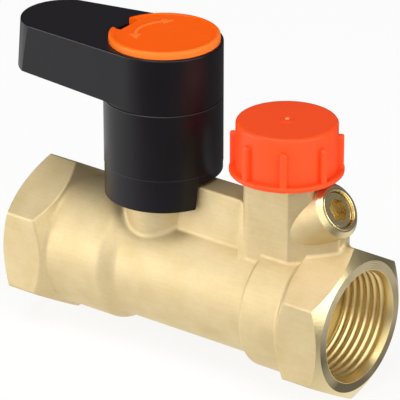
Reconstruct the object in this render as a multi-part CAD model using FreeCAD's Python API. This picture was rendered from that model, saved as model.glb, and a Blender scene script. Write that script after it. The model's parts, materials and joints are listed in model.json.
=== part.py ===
import FreeCAD, Part
import math
import os

# Isolating ball valve with a capped drain outlet, for a one inch heating pipe.
# Lengths are in millimetres. X runs along the pipe from the inlet face, Z up along the stem.

# Pipe run
LENGTH = 114.0
HEX_FLATS = 41.0
HEX_CHAMFER = 2.5
HEX_FACE_INSET = 1.3
HEX_LENGTH = 12.2
HEX_SHOULDER = 3.3
HEX_EDGE_ROUNDING = 1.0
SHOULDER_ROUNDING = 0.7
SHOULDER_FILLET = 1.6
PORT_RADIUS = 16.62
PORT_DEPTH = 19.0
BARREL_WALL = 4.4
BODY_WALL = 2.7
BARREL_ROUNDING = 1.6
BARREL_FILLET = 0.8
TAPER_ROUNDING = 4.5
PASSAGE_RADIUS = 9.0
PORT_CONE = 5.0
INLET_BARREL_END = 35.0
INLET_BARREL_TAPER = 4.0
OUTLET_BARREL_LENGTH = 13.5
FOOT_FILLET = 1.3

# Ball and seats
STEM_X = 44.7
BALL_RADIUS = 13.6
BALL_BORE_RADIUS = 8.5
BALL_SLOT_DEPTH = 3.6
CAVITY_GAP = 0.7
SEAT_RADIUS = 12.85
SEAT_INNER_RADIUS = 9.0
SEAT_BACK = 12.2
RETAINER_RADIUS = 14.8
RETAINER_LENGTH = 17.4
RETAINER_SLOT_WIDTH = 4.0
RETAINER_SLOT_DEPTH = 2.5

# Stem
STEM_RADIUS = 5.0
STEM_SQUARE = 7.2
STEM_COLLAR_RADIUS = 6.8
STEM_COLLAR_HEIGHT = 2.0
TANG_THICKNESS = 4.0
THRUST_WASHER_HEIGHT = 1.0
STEM_BOSS_RADIUS = 11.0
STEM_BOSS_TOP = 40.0
STEM_FOOT_FILLET = 1.8
STEM_SHOULDER_Z = 41.0
STEM_RING_SECTION = 1.5
STEM_RING_Z = (25.0, 31.0)

# Stop web between the two bosses
WEB_TOP = 30.0
WEB_TOP_WIDTH = 9.0
WEB_DRAFT_DEG = 7.0
WEB_END_FILLET = 2.6
WEB_EDGE_ROUNDING = 0.8

# Neck sleeve
SLEEVE_RADIUS = 17.2
SLEEVE_WALL = 1.9
SLEEVE_BOTTOM = 31.0
SLEEVE_ROOF = 2.4
SLEEVE_HUB_RADIUS = 7.6
SKIRT_BOTTOM = 23.6
SKIRT_LINE_Z = 33.4
SKIRT_STEP = 0.12
PARTING_GROOVE = 0.35
STOP_GAP = 0.7

# Lever
LEVER_BOTTOM = 53.6
LEVER_TOP = 70.2
LEVER_REACH = 46.6
LEVER_TIP_LEAN = 1.1
LEVER_TAPER_DEG = 7.2
LEVER_SKEW_DEG = 4.15
LEVER_TIP_RADIUS = 14.5
LEVER_NEAR_CORNER = 2.2
LEVER_FAR_CORNER = 8.5
LEVER_WALL = 2.2
LEVER_ROOF = 2.8
LEVER_EDGE = 0.5
LEVER_RIB = 1.6
ARM_RIB_COUNT = 2
LEVER_CORE_RADIUS = 9.5
LEVER_FLOOR_Z = 60.0
SCREW_WELL_RADIUS = 7.2
ARM_BOTTOM_AT_HUB = 54.3
ARM_BOTTOM_AT_TIP = 55.7

# Cover disc
DISC_RADIUS = 15.96
DISC_PROUD = 2.1
DISC_OFFSET = 0.5
DISC_RIM_WIDTH = 1.4
DISC_FIELD_DEPTH = 0.25
DISC_SEAT_DEPTH = 1.3
DISC_ROUNDING = 0.9
DISC_NOTCH_WIDTH = 9.4
DISC_NOTCH_REACH = 11.3
DISC_SPIGOT_LENGTH = 3.6
DISC_SPIGOT_WALL = 1.2

# Lever screw
SCREW_RADIUS = 2.5
SCREW_LENGTH = 14.0
SCREW_HEAD_RADIUS = 4.6
SCREW_HEAD_HEIGHT = 3.2
SCREW_SOCKET = 4.0
SCREW_WASHER_RADIUS = 6.0
SCREW_WASHER_HEIGHT = 1.0

# Drain boss and nipple
DRAIN_TO_OUTLET = 25.9
DRAIN_BLOCK_WIDTH = 17.2
DRAIN_BLOCK_BACK = 10.4
DRAIN_BLOCK_FRONT = 6.7
DRAIN_BLOCK_CORNER = 3.5
DRAIN_BLOCK_BREAK = 1.5
DRAIN_BLOCK_TOP = 39.8
DRAIN_COLLAR_RADIUS = 12.6
NIPPLE_RADIUS = 12.06
DRAIN_COLLAR_HEIGHT = 2.7
NIPPLE_BORE_RADIUS = 6.5
NIPPLE_BORE_FLOOR = 20.0

# Slanted spindle boss, with lengths along its axis from the drain axis
SPINDLE_TILT_DEG = 33.0
SPINDLE_CROSS_Z = 22.2
SPINDLE_RIM = 21.8
SPINDLE_BOSS_RADIUS = 8.0
SPINDLE_BOSS_DRAFT_DEG = 1.5
SPINDLE_RIM_CHAMFER = 1.3
SPINDLE_RADIUS = 4.6
SPINDLE_HEAD_RADIUS = 5.2
SPINDLE_SHOULDER_RADIUS = 5.8
SPINDLE_SHOULDER_HEIGHT = 2.6
SPINDLE_POCKET_FLOOR = 12.0
SPINDLE_SEAT = -4.0
SPINDLE_SOCKET = 6.0
SPINDLE_SOCKET_DEPTH = 5.5
SPINDLE_FACE_DEPTH = 0.6
SPINDLE_FACE_ROUNDING = 0.5
SPINDLE_RING_AT = 9.6
SPINDLE_RING_SECTION = 1.5
SPINDLE_SEAL_RADIUS = 3.8
SPINDLE_SEAL_HEIGHT = 1.8
SPINDLE_SEAL_PROUD = 0.8
ORIFICE_RADIUS = 2.5
STOP_RING_RADIUS = 6.3
STOP_RING_HEIGHT = 1.2
BUTTRESS_END = 20.1
BUTTRESS_END_WIDTH = 5.7
BUTTRESS_ROUNDING = 1.2
BUTTRESS_CROWN = 10.3

# Drain cap
CAP_HEIGHT = 15.4
CAP_CLEARANCE = 1.2
CAP_RADIUS = 14.4
CAP_BORE_RADIUS = 13.35
CAP_ROOF = 2.0
CAP_TOP_ROUNDING = 1.0
CAP_FLANGE_RADIUS = 16.2
CAP_FLANGE_HEIGHT = 1.5
CAP_FLANGE_ROUNDING = 0.5
CAP_RIB_COUNT = 8
CAP_RIB_WIDTH = 2.1
CAP_RIB_RADIUS = 15.95
CAP_RIB_HEIGHT = 11.6
CAP_RIB_ROUNDING = 0.6
CAP_RIB_TURN_DEG = -12.9
CAP_GATE_RADIUS = 0.9
CAP_GATE_HEIGHT = 0.3
GASKET_HEIGHT = 2.0
GASKET_RADIUS = 13.0

# Fits
RUNNING_FIT = 0.05
SLIP_FIT = 0.1
PART_GAP = 0.3
MEETING_TOLERANCE = 0.005

# Worked out from the sizes above
DRAIN_X = LENGTH - DRAIN_TO_OUTLET
HEX_RADIUS = HEX_FLATS / math.sqrt(3.0)
CAVITY_RADIUS = BALL_RADIUS + CAVITY_GAP
BODY_RADIUS = CAVITY_RADIUS + BODY_WALL
RETAINER_BORE = RETAINER_RADIUS + RUNNING_FIT
BARREL_RADIUS = RETAINER_BORE + BARREL_WALL
OUTLET_BARREL_START = LENGTH - HEX_LENGTH - HEX_SHOULDER - OUTLET_BARREL_LENGTH
SEAT_FRONT = STEM_COLLAR_RADIUS + 2.0 * PART_GAP
RETAINER_END = STEM_X - SEAT_FRONT
COLLAR_BOTTOM = BALL_RADIUS + PART_GAP
COLLAR_TOP = COLLAR_BOTTOM + STEM_COLLAR_HEIGHT
THRUST_ROOF = COLLAR_TOP + THRUST_WASHER_HEIGHT + RUNNING_FIT
STEM_TOP = LEVER_FLOOR_Z - PART_GAP
DISC_SEAT_Z = LEVER_TOP - DISC_SEAT_DEPTH
NIPPLE_BASE_Z = DRAIN_BLOCK_TOP + DRAIN_COLLAR_HEIGHT
CAP_BOTTOM = DRAIN_BLOCK_TOP + CAP_CLEARANCE
CAP_TOP = CAP_BOTTOM + CAP_HEIGHT
CAP_RIB_TOP = CAP_BOTTOM + CAP_RIB_HEIGHT
NIPPLE_TOP = CAP_TOP - CAP_ROOF - GASKET_HEIGHT
SPINDLE_FACE = SPINDLE_RIM - SPINDLE_FACE_DEPTH
SPINDLE_TIP = SPINDLE_SEAT + SPINDLE_SEAL_PROUD
STOP_RING_AT = SPINDLE_RIM - STOP_RING_HEIGHT

UP = FreeCAD.Vector(0, 0, 1)
ALONG = FreeCAD.Vector(1, 0, 0)
STEM_BASE = FreeCAD.Vector(STEM_X, 0, 0)
DRAIN_BASE = FreeCAD.Vector(DRAIN_X, 0, 0)


def pillar(radius, low, high, base=FreeCAD.Vector()):
    """Upright cylinder between two heights."""
    return Part.makeCylinder(radius, high - low, base + UP * low, UP)


def tube(outer, inner, low, high, base=FreeCAD.Vector()):
    """Upright ring between two heights."""
    return pillar(outer, low, high, base).cut(pillar(inner, low, high, base))


def pipe(radius, start, end):
    """Cylinder along the pipe axis."""
    return Part.makeCylinder(radius, end - start, ALONG * start, ALONG)


def cone(radius_start, radius_end, start, end):
    """Cone along the pipe axis."""
    return Part.makeCone(radius_start, radius_end, end - start, ALONG * start, ALONG)


def block(x, y, z):
    """Box between two values on each axis."""
    corner = FreeCAD.Vector(x[0], y[0], z[0])
    return Part.makeBox(x[1] - x[0], y[1] - y[0], z[1] - z[0], corner)


def upright_prism(sides, flats, low, high):
    """Regular prism about Z, with a flat facing +Y."""
    reach = flats / 2.0 / math.cos(math.pi / sides)
    turns = [math.pi / 2.0 + math.pi * (2 * side + 1) / sides for side in range(sides + 1)]
    points = [FreeCAD.Vector(reach * math.cos(t), reach * math.sin(t), low) for t in turns]
    return Part.Face(Part.makePolygon(points)).extrude(UP * (high - low))


def rounded_face(corners):
    """Face in the XZ plane from (x, z, rounding) corners."""
    edges = []
    ends = []
    spots = [FreeCAD.Vector(x, 0, z) for x, z, rounding in corners]
    for index, spot in enumerate(spots):
        rounding = corners[index][2]
        if not rounding:
            ends.append((spot, spot))
            continue
        back = (spots[index - 1] - spot).normalize()
        ahead = (spots[(index + 1) % len(spots)] - spot).normalize()
        half = back.getAngle(ahead) / 2.0
        middle = (back + ahead).normalize()
        reach = rounding / math.tan(half)
        top = spot + middle * (rounding / math.sin(half) - rounding)
        ends.append((spot + back * reach, spot + ahead * reach))
        edges.append(Part.Arc(ends[-1][0], top, ends[-1][1]).toShape())
    for index, (_, leave) in enumerate(ends):
        arrive = ends[(index + 1) % len(ends)][0]
        edges.append(Part.LineSegment(leave, arrive).toShape())
    return Part.Face(Part.Wire(Part.__sortEdges__(edges)))


def turned(corners, base=FreeCAD.Vector(), axis=UP):
    """Solid of revolution from (x, z, rounding) corners about an axis through the base."""
    face = rounded_face(corners)
    solid = face.revolve(FreeCAD.Vector(), axis, 360)
    solid.translate(base)
    return solid


def ring(radius, section, height, base=FreeCAD.Vector()):
    """O-ring of the given outer radius."""
    return Part.makeTorus(radius - section / 2.0, section / 2.0, base + UP * height, UP)


def slanted(shape):
    """Place a shape built along Z on the spindle axis."""
    turn = FreeCAD.Rotation(FreeCAD.Vector(0, 1, 0), 90.0 - SPINDLE_TILT_DEG)
    shape.Placement = FreeCAD.Placement(DRAIN_BASE + UP * SPINDLE_CROSS_Z, turn)
    return shape


def web_prism(start, end, gap, top):
    """Drafted stop web along X from the stem axis, grown by a gap on its sides, up to a height."""
    slope = math.tan(math.radians(WEB_DRAFT_DEG))
    half_top = WEB_TOP_WIDTH / 2.0 + gap + (WEB_TOP - top) * slope
    half_low = half_top + top * slope
    outline = [(-half_low, 0), (half_low, 0), (half_top, top), (-half_top, top), (-half_low, 0)]
    points = [STEM_BASE + FreeCAD.Vector(start, y, z) for y, z in outline]
    return Part.Face(Part.makePolygon(points)).extrude(ALONG * (end - start))


def hexagon_bar(start, end):
    """Hexagon along the pipe axis with a corner up."""
    turns = [math.radians(90 + 60 * side) for side in range(7)]
    points = [FreeCAD.Vector(start, HEX_RADIUS * math.cos(t), HEX_RADIUS * math.sin(t)) for t in turns]
    bar = Part.Face(Part.makePolygon(points)).extrude(ALONG * (end - start))
    corners = [edge for edge in bar.Edges if edge.Length > end - start - SLIP_FIT
               and edge.BoundBox.XLength > edge.Length - SLIP_FIT]
    return bar.makeFillet(HEX_EDGE_ROUNDING, corners)


def hexagon_end():
    """Inlet hexagon with its end chamfer and the rounded cone down to the barrel."""
    hex_end = HEX_LENGTH + HEX_SHOULDER
    bar = hexagon_bar(0, hex_end + SHOULDER_FILLET)
    envelope = turned([
        (0, 0, 0),
        (0, HEX_FLATS / 2.0 - HEX_FACE_INSET, 0),
        (HEX_CHAMFER, HEX_RADIUS, 0),
        (HEX_LENGTH, HEX_RADIUS, 0),
        (hex_end, BARREL_RADIUS, SHOULDER_FILLET),
        (hex_end + SHOULDER_FILLET, BARREL_RADIUS, 0),
        (hex_end + SHOULDER_FILLET, 0, 0),
    ], axis=ALONG)
    end = bar.common(envelope)
    crown = [edge for edge in end.Edges if edge.BoundBox.XMin > HEX_LENGTH - SLIP_FIT * 2.0
             and edge.BoundBox.XMax < hex_end and edge.Curve.TypeId != "Part::GeomLine"]
    return end.makeFillet(SHOULDER_ROUNDING, crown)


def pipe_run():
    """Turned outside of the run between the hexagon ends."""
    hex_end = HEX_LENGTH + HEX_SHOULDER
    taper_end = INLET_BARREL_END + INLET_BARREL_TAPER
    barrels = turned([
        (hex_end / 2.0, 0, 0),
        (hex_end / 2.0, BARREL_RADIUS, 0),
        (INLET_BARREL_END, BARREL_RADIUS, TAPER_ROUNDING),
        (taper_end, BODY_RADIUS, TAPER_ROUNDING),
        (OUTLET_BARREL_START, BODY_RADIUS, BARREL_FILLET),
        (OUTLET_BARREL_START, BARREL_RADIUS, BARREL_ROUNDING),
        (LENGTH - hex_end / 2.0, BARREL_RADIUS, 0),
        (LENGTH - hex_end / 2.0, 0, 0),
    ], axis=ALONG)
    inlet = hexagon_end()
    outlet = inlet.mirror(ALONG * (LENGTH / 2.0), ALONG)
    return barrels.fuse([inlet, outlet])


def drain_block():
    """Forged block under the nipple, with the wedge that carries the slanted boss."""
    half = DRAIN_BLOCK_WIDTH / 2.0
    tip = BUTTRESS_END_WIDTH / 2.0
    side = [(-DRAIN_BLOCK_BACK, half), (DRAIN_BLOCK_FRONT, half), (BUTTRESS_END, tip)]
    outline = side + [(x, -y) for x, y in reversed(side)]
    points = [DRAIN_BASE + FreeCAD.Vector(x, y, 0) for x, y in outline + outline[:1]]
    blank = Part.Face(Part.makePolygon(points)).extrude(UP * DRAIN_BLOCK_TOP)
    roundings = {
        -DRAIN_BLOCK_BACK: DRAIN_BLOCK_CORNER,
        DRAIN_BLOCK_FRONT: DRAIN_BLOCK_BREAK,
        BUTTRESS_END: BUTTRESS_ROUNDING,
    }
    for reach, rounding in roundings.items():
        corners = [edge for edge in blank.Edges
                   if abs(edge.CenterOfMass.x - DRAIN_X - reach) < SLIP_FIT
                   and edge.Length > DRAIN_BLOCK_TOP - SLIP_FIT]
        blank = blank.makeFillet(rounding, corners)
    mouth = SPINDLE_RIM - 2.0 * SPINDLE_RIM_CHAMFER
    keep = slanted(block((-BUTTRESS_CROWN, LENGTH), (-LENGTH, LENGTH), (-LENGTH, mouth)))
    plain = block((0, DRAIN_X + DRAIN_BLOCK_FRONT), (-half, half), (0, DRAIN_BLOCK_TOP))
    return blank.common(keep.fuse(plain))


def drain_outside():
    """Drain block with its collar and nipple and the slanted spindle boss."""
    collar = pillar(DRAIN_COLLAR_RADIUS, DRAIN_BLOCK_TOP, NIPPLE_BASE_Z, DRAIN_BASE)
    nipple = pillar(NIPPLE_RADIUS, NIPPLE_BASE_Z, NIPPLE_TOP, DRAIN_BASE)
    mouth = SPINDLE_RIM - SPINDLE_RIM_CHAMFER
    rim = SPINDLE_BOSS_RADIUS - SPINDLE_RIM_CHAMFER
    root = SPINDLE_BOSS_RADIUS + mouth * math.tan(math.radians(SPINDLE_BOSS_DRAFT_DEG))
    slant = slanted(turned([
        (0, 0, 0),
        (root, 0, 0),
        (SPINDLE_BOSS_RADIUS, mouth, 0),
        (rim, SPINDLE_RIM, 0),
        (0, SPINDLE_RIM, 0),
    ]))
    return drain_block().fuse([collar, nipple, slant])


def run_bores():
    """Hollow of the pipe run: ports, retainer seat, ball cavity, seat pocket and passage."""
    outlet_cone = LENGTH - PORT_DEPTH - PORT_CONE
    seat_bore = SEAT_RADIUS + RUNNING_FIT
    cone_end = PASSAGE_RADIUS + PORT_CONE
    inlet_port = pipe(PORT_RADIUS, 0, PORT_DEPTH)
    return inlet_port.fuse([
        pipe(RETAINER_BORE, 0, RETAINER_END),
        pipe(CAVITY_RADIUS, RETAINER_END, STEM_X + SEAT_FRONT),
        pipe(seat_bore, STEM_X, STEM_X + SEAT_BACK),
        pipe(PASSAGE_RADIUS, STEM_X, LENGTH),
        cone(PASSAGE_RADIUS, cone_end, outlet_cone, LENGTH - PORT_DEPTH),
        pipe(PORT_RADIUS, LENGTH - PORT_DEPTH, LENGTH),
    ])


def stem_bores():
    """Stem hole and the pocket of its collar."""
    collar = pillar(STEM_COLLAR_RADIUS + PART_GAP, 0, THRUST_ROOF, STEM_BASE)
    hole = pillar(STEM_RADIUS + RUNNING_FIT, 0, STEM_BOSS_TOP, STEM_BASE)
    return collar.fuse(hole)


def drain_bores():
    """Nipple bore, spindle bore with its steps, and the orifice down to the passage."""
    drop = SPINDLE_CROSS_Z - PASSAGE_RADIUS / 2.0
    orifice_end = drop / math.sin(math.radians(SPINDLE_TILT_DEG))
    spindle = slanted(turned([
        (0, -orifice_end, 0),
        (ORIFICE_RADIUS, -orifice_end, 0),
        (ORIFICE_RADIUS, SPINDLE_SEAT, 0),
        (SPINDLE_RADIUS + RUNNING_FIT, SPINDLE_SEAT, 0),
        (SPINDLE_RADIUS + RUNNING_FIT, SPINDLE_POCKET_FLOOR, 0),
        (SPINDLE_SHOULDER_RADIUS + SLIP_FIT, SPINDLE_POCKET_FLOOR, 0),
        (SPINDLE_SHOULDER_RADIUS + SLIP_FIT, STOP_RING_AT, 0),
        (STOP_RING_RADIUS + RUNNING_FIT, STOP_RING_AT, 0),
        (STOP_RING_RADIUS + RUNNING_FIT, SPINDLE_RIM, 0),
        (0, SPINDLE_RIM, 0),
    ]))
    return pillar(NIPPLE_BORE_RADIUS, NIPPLE_BORE_FLOOR, NIPPLE_TOP, DRAIN_BASE).fuse(spindle)


def shared_edges(shape, first, second):
    """Edges of a fused shape where the skins of two of its pieces meet."""
    found = []
    for edge in shape.Edges:
        middle = Part.Vertex(edge.valueAt((edge.FirstParameter + edge.LastParameter) / 2.0))
        near = [middle.distToShape(Part.makeShell(piece.Faces))[0] for piece in (first, second)]
        if max(near) < MEETING_TOLERANCE:
            found.append(edge)
    return found


def footed(base, feature, rounding):
    """Feature standing on a base, with a rounded foot where they meet."""
    whole = base.fuse(feature).removeSplitter()
    return whole.makeFillet(rounding, shared_edges(whole, base, feature))


def stretch(shape, start, end, half=LENGTH, low=-LENGTH):
    """Part of a shape between two places along the pipe, within a half width and above a height."""
    return shape.common(block((start, end), (-half, half), (low, LENGTH)))


def footed_drain_block():
    """Drain block with its foot on the body, the outlet barrel and the outlet hexagon."""
    base = drain_block()
    step = OUTLET_BARREL_START + BARREL_ROUNDING / 3.0
    crown = LENGTH - HEX_LENGTH - HEX_SHOULDER * 2.0 / 3.0
    half = DRAIN_BLOCK_WIDTH / 2.0 + FOOT_FILLET
    on_body = footed(pipe(BODY_RADIUS, STEM_X, LENGTH), base, FOOT_FILLET)
    on_barrel = footed(pipe(BARREL_RADIUS, STEM_X, LENGTH), base, FOOT_FILLET)
    on_hexagon = footed(hexagon_bar(STEM_X, LENGTH), base, FOOT_FILLET)
    return [
        stretch(on_body, STEM_X, OUTLET_BARREL_START),
        stretch(on_barrel, step, crown, half, BODY_RADIUS / 2.0),
        stretch(on_hexagon, crown, LENGTH - HEX_CHAMFER, half, BODY_RADIUS / 2.0),
    ]


def footed_web():
    """Stop web on the body, with a rounded end against the drain block."""
    web = web_prism(0, DRAIN_X - STEM_X, 0, WEB_TOP)
    top = [edge for edge in web.Edges if edge.BoundBox.ZMin > WEB_TOP - SLIP_FIT
           and edge.BoundBox.XLength > WEB_TOP_WIDTH]
    web = web.makeFillet(WEB_EDGE_ROUNDING, top)
    wall = DRAIN_X - DRAIN_BLOCK_BACK
    end = block((wall, DRAIN_X), (-WEB_TOP_WIDTH, WEB_TOP_WIDTH), (WEB_TOP / 2.0, DRAIN_BLOCK_TOP))
    joined = web.fuse(end)
    corner = FreeCAD.Vector(wall, 0, WEB_TOP)
    edges = [edge for edge in joined.Edges if (edge.CenterOfMass - corner).Length < SLIP_FIT]
    joined = stretch(joined.makeFillet(WEB_END_FILLET, edges), STEM_X, wall)
    return [joined, footed(pipe(BODY_RADIUS, 0, LENGTH), web, FOOT_FILLET)]


def make_valve_body():
    """Forged body with all its bores."""
    boss = pillar(STEM_BOSS_RADIUS, 0, STEM_BOSS_TOP, STEM_BASE)
    outside = footed(pipe_run(), boss, STEM_FOOT_FILLET)
    outside = outside.fuse([drain_outside()] + footed_web() + footed_drain_block()).removeSplitter()
    return outside.cut(run_bores()).cut(stem_bores()).cut(drain_bores())


def make_ball():
    """Ball with its bore along the pipe and a slot across for the stem."""
    ball = Part.makeSphere(BALL_RADIUS, STEM_BASE)
    half = TANG_THICKNESS / 2.0 + SLIP_FIT
    floor = BALL_RADIUS - BALL_SLOT_DEPTH
    slot = block((STEM_X - half, STEM_X + half), (-BALL_RADIUS, BALL_RADIUS), (floor, BALL_RADIUS))
    return ball.cut(pipe(BALL_BORE_RADIUS, 0, LENGTH)).cut(slot)


def make_seat(side):
    """Soft seat ring, hollowed to the ball; side is 1 towards the outlet and -1 towards the inlet."""
    ends = sorted((STEM_X + side * SEAT_FRONT, STEM_X + side * SEAT_BACK))
    seat = pipe(SEAT_RADIUS, *ends).cut(pipe(SEAT_INNER_RADIUS, *ends))
    return seat.cut(Part.makeSphere(BALL_RADIUS + RUNNING_FIT, STEM_BASE))


def make_seat_retainer():
    """Screwed ring that holds the inlet seat, with two spanner slots."""
    start = RETAINER_END - RETAINER_LENGTH
    body = pipe(RETAINER_RADIUS, start, RETAINER_END)
    pocket = pipe(SEAT_RADIUS + RUNNING_FIT, STEM_X - SEAT_BACK, RETAINER_END)
    half = RETAINER_SLOT_WIDTH / 2.0
    across = (-RETAINER_RADIUS, RETAINER_RADIUS)
    slot = block((start, start + RETAINER_SLOT_DEPTH), across, (-half, half))
    return body.cut(pocket).cut(pipe(PASSAGE_RADIUS, start, RETAINER_END)).cut(slot)


def make_stem():
    """Stem put in from the inside: tang, collar, grooved shaft and square top."""
    section = STEM_RING_SECTION
    shaft = pillar(STEM_RADIUS, COLLAR_BOTTOM, STEM_SHOULDER_Z, STEM_BASE)
    collar = pillar(STEM_COLLAR_RADIUS, COLLAR_BOTTOM, COLLAR_TOP, STEM_BASE)
    half = TANG_THICKNESS / 2.0
    tang_low = BALL_RADIUS - BALL_SLOT_DEPTH + SLIP_FIT
    tang = block((-half, half), (-STEM_RADIUS, STEM_RADIUS), (tang_low, COLLAR_BOTTOM))
    square = upright_prism(4, STEM_SQUARE, STEM_SHOULDER_Z, STEM_TOP)
    square = square.common(pillar(STEM_RADIUS, STEM_SHOULDER_Z, STEM_TOP))
    tang.translate(STEM_BASE)
    square.translate(STEM_BASE)
    stem = shaft.fuse([collar, tang, square])
    for height in STEM_RING_Z:
        low = height - section / 2.0 - RUNNING_FIT
        high = height + section / 2.0 + RUNNING_FIT
        stem = stem.cut(tube(STEM_RADIUS * 2.0, STEM_RADIUS - section - RUNNING_FIT, low, high, STEM_BASE))
    seat_z = LEVER_FLOOR_Z + SCREW_WASHER_HEIGHT
    hole = pillar(SCREW_RADIUS + RUNNING_FIT, seat_z - SCREW_LENGTH - PART_GAP, seat_z, STEM_BASE)
    return stem.cut(hole)


def make_stem_ring(height):
    """O-ring in a stem groove."""
    return ring(STEM_RADIUS, STEM_RING_SECTION, height, STEM_BASE)


def make_thrust_washer():
    """Washer between the stem collar and the body."""
    top = COLLAR_TOP + THRUST_WASHER_HEIGHT
    return tube(STEM_COLLAR_RADIUS, STEM_RADIUS + RUNNING_FIT, COLLAR_TOP, top, STEM_BASE)


def stop_notch():
    """Space that the web needs in the skirt over the quarter turn of the lever."""
    reach = SLEEVE_RADIUS * 2.0
    rest = web_prism(0, reach, STOP_GAP, SLEEVE_BOTTOM)
    closed = rest.copy()
    closed.rotate(STEM_BASE, UP, 90)
    sector = Part.makeCylinder(reach, SLEEVE_BOTTOM, STEM_BASE, UP, 90)
    return rest.fuse([closed, sector])


def make_neck_sleeve():
    """Sleeve under the lever: outer tube, skirt with the stop notch, roof and square hub."""
    skirt_radius = SLEEVE_RADIUS - SKIRT_STEP
    inner = SLEEVE_RADIUS - SLEEVE_WALL
    roof_low = LEVER_BOTTOM - SLEEVE_ROOF
    shell = turned([
        (inner, SKIRT_BOTTOM, 0),
        (skirt_radius, SKIRT_BOTTOM, 0),
        (skirt_radius, SKIRT_LINE_Z, 0),
        (SLEEVE_RADIUS, SKIRT_LINE_Z, 0),
        (SLEEVE_RADIUS, LEVER_BOTTOM - PARTING_GROOVE, 0),
        (SLEEVE_RADIUS - PARTING_GROOVE, LEVER_BOTTOM, 0),
        (0, LEVER_BOTTOM, 0),
        (0, STEM_SHOULDER_Z, 0),
        (SLEEVE_HUB_RADIUS, STEM_SHOULDER_Z, 0),
        (SLEEVE_HUB_RADIUS, roof_low, 0),
        (inner, roof_low, 0),
    ], STEM_BASE)
    square = upright_prism(4, STEM_SQUARE + 2.0 * SLIP_FIT, STEM_SHOULDER_Z, LEVER_BOTTOM)
    square.translate(STEM_BASE)
    return shell.cut(square).cut(stop_notch())


def lever_outline():
    """Plan of the lever's foot about the stem axis, with the arm along -X, and its near corner."""
    taper = math.radians(LEVER_TAPER_DEG)
    reach = LEVER_REACH + LEVER_TIP_LEAN
    touch = FreeCAD.Vector(-SLEEVE_RADIUS * math.sin(taper), -SLEEVE_RADIUS * math.cos(taper), 0)
    along = FreeCAD.Vector(-math.cos(taper), math.sin(taper), 0)
    tip_centre = FreeCAD.Vector(LEVER_TIP_RADIUS - reach, 0, 0)
    offset = touch - tip_centre
    half_b = offset.dot(along)
    run = -half_b + math.sqrt(half_b ** 2 - offset.dot(offset) + LEVER_TIP_RADIUS ** 2)
    near = touch + along * run
    far = FreeCAD.Vector(near.x, -near.y, 0)
    far_touch = FreeCAD.Vector(touch.x, -touch.y, 0)
    front = FreeCAD.Vector(SLEEVE_RADIUS, 0, 0)
    apex = FreeCAD.Vector(-reach, 0, 0)
    edges = [
        Part.Arc(far_touch, front, touch).toShape(),
        Part.LineSegment(touch, near).toShape(),
        Part.Arc(near, apex, far).toShape(),
        Part.LineSegment(far, far_touch).toShape(),
    ]
    return Part.Face(Part.Wire(edges)), near


def lever_blank():
    """Solid lever outside, with a tip that leans out downwards, and the plan face of its hollow."""
    face, corner = lever_outline()
    height = LEVER_TOP - LEVER_BOTTOM
    blank = face.extrude(UP * height)
    for sign, rounding in ((1, LEVER_NEAR_CORNER), (-1, LEVER_FAR_CORNER)):
        spot = FreeCAD.Vector(corner.x, sign * corner.y, height / 2.0)
        edges = [edge for edge in blank.Edges if (edge.CenterOfMass - spot).Length < SLIP_FIT]
        blank = blank.makeFillet(rounding, edges)
    base = [face for face in blank.Faces if face.CenterOfMass.z < SLIP_FIT][0]
    hollow = base.makeOffset2D(-LEVER_WALL)
    centre = FreeCAD.Vector(LEVER_TIP_RADIUS - LEVER_REACH - LEVER_TIP_LEAN, 0, 0)
    tip = Part.makeCone(LEVER_TIP_RADIUS, LEVER_TIP_RADIUS - LEVER_TIP_LEAN, height, centre, UP)
    beyond = block((-LENGTH, centre.x), (-LENGTH, LENGTH), (0, height))
    blank = blank.cut(beyond.cut(tip))
    rim = [edge for edge in blank.Edges if edge.BoundBox.ZMin > height - SLIP_FIT]
    blank = blank.makeFillet(LEVER_EDGE, rim)
    return blank, hollow


def arm_undercut():
    """Space below the arm, whose underside rises towards the tip."""
    low = ARM_BOTTOM_AT_HUB - LEVER_BOTTOM
    high = ARM_BOTTOM_AT_TIP - LEVER_BOTTOM
    reach = LEVER_REACH + LEVER_TIP_LEAN
    outline = [(0, 0), (0, low), (-reach, high), (-reach, 0), (0, 0)]
    width = SLEEVE_RADIUS * 2.0
    points = [FreeCAD.Vector(x, -width, z) for x, z in outline]
    wedge = Part.Face(Part.makePolygon(points)).extrude(FreeCAD.Vector(0, width * 2.0, 0))
    return wedge.cut(pillar(SLEEVE_RADIUS, 0, high))


def lever_ribs(hollow_top):
    """Hub core with its radial ribs and the ribs along and across the arm."""
    half = LEVER_RIB / 2.0
    reach = LEVER_REACH
    core = pillar(LEVER_CORE_RADIUS, 0, hollow_top)
    spine = block((-reach, SLEEVE_RADIUS), (-half, half), (0, hollow_top))
    cross = block((-half, half), (-reach, reach), (0, hollow_top))
    ribs = [spine, cross]
    free = LEVER_REACH - SLEEVE_RADIUS
    for index in range(ARM_RIB_COUNT):
        place = -SLEEVE_RADIUS - free * (index + 1) / (ARM_RIB_COUNT + 1)
        ribs.append(block((place - half, place + half), (-reach, reach), (0, hollow_top)))
    return core.fuse(ribs)


def make_lever():
    """Moulded lever: shelled arm and hub, ribs, square socket, screw well and disc seat."""
    blank, hollow = lever_blank()
    hollow_top = LEVER_TOP - LEVER_BOTTOM - LEVER_ROOF
    inside = hollow.extrude(UP * hollow_top).cut(lever_ribs(hollow_top))
    lever = blank.cut(inside).cut(arm_undercut())
    lever.rotate(FreeCAD.Vector(), UP, LEVER_SKEW_DEG)
    floor = LEVER_FLOOR_Z - LEVER_BOTTOM
    seat = DISC_SEAT_Z - LEVER_BOTTOM
    top = LEVER_TOP - LEVER_BOTTOM
    lever = lever.cut(upright_prism(4, STEM_SQUARE + 2.0 * SLIP_FIT, 0, floor))
    lever = lever.cut(pillar(SCREW_WELL_RADIUS, floor, top))
    lever = lever.cut(pillar(DISC_RADIUS + SLIP_FIT, seat, top, ALONG * DISC_OFFSET))
    lever.translate(STEM_BASE + UP * LEVER_BOTTOM)
    return lever


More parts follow.
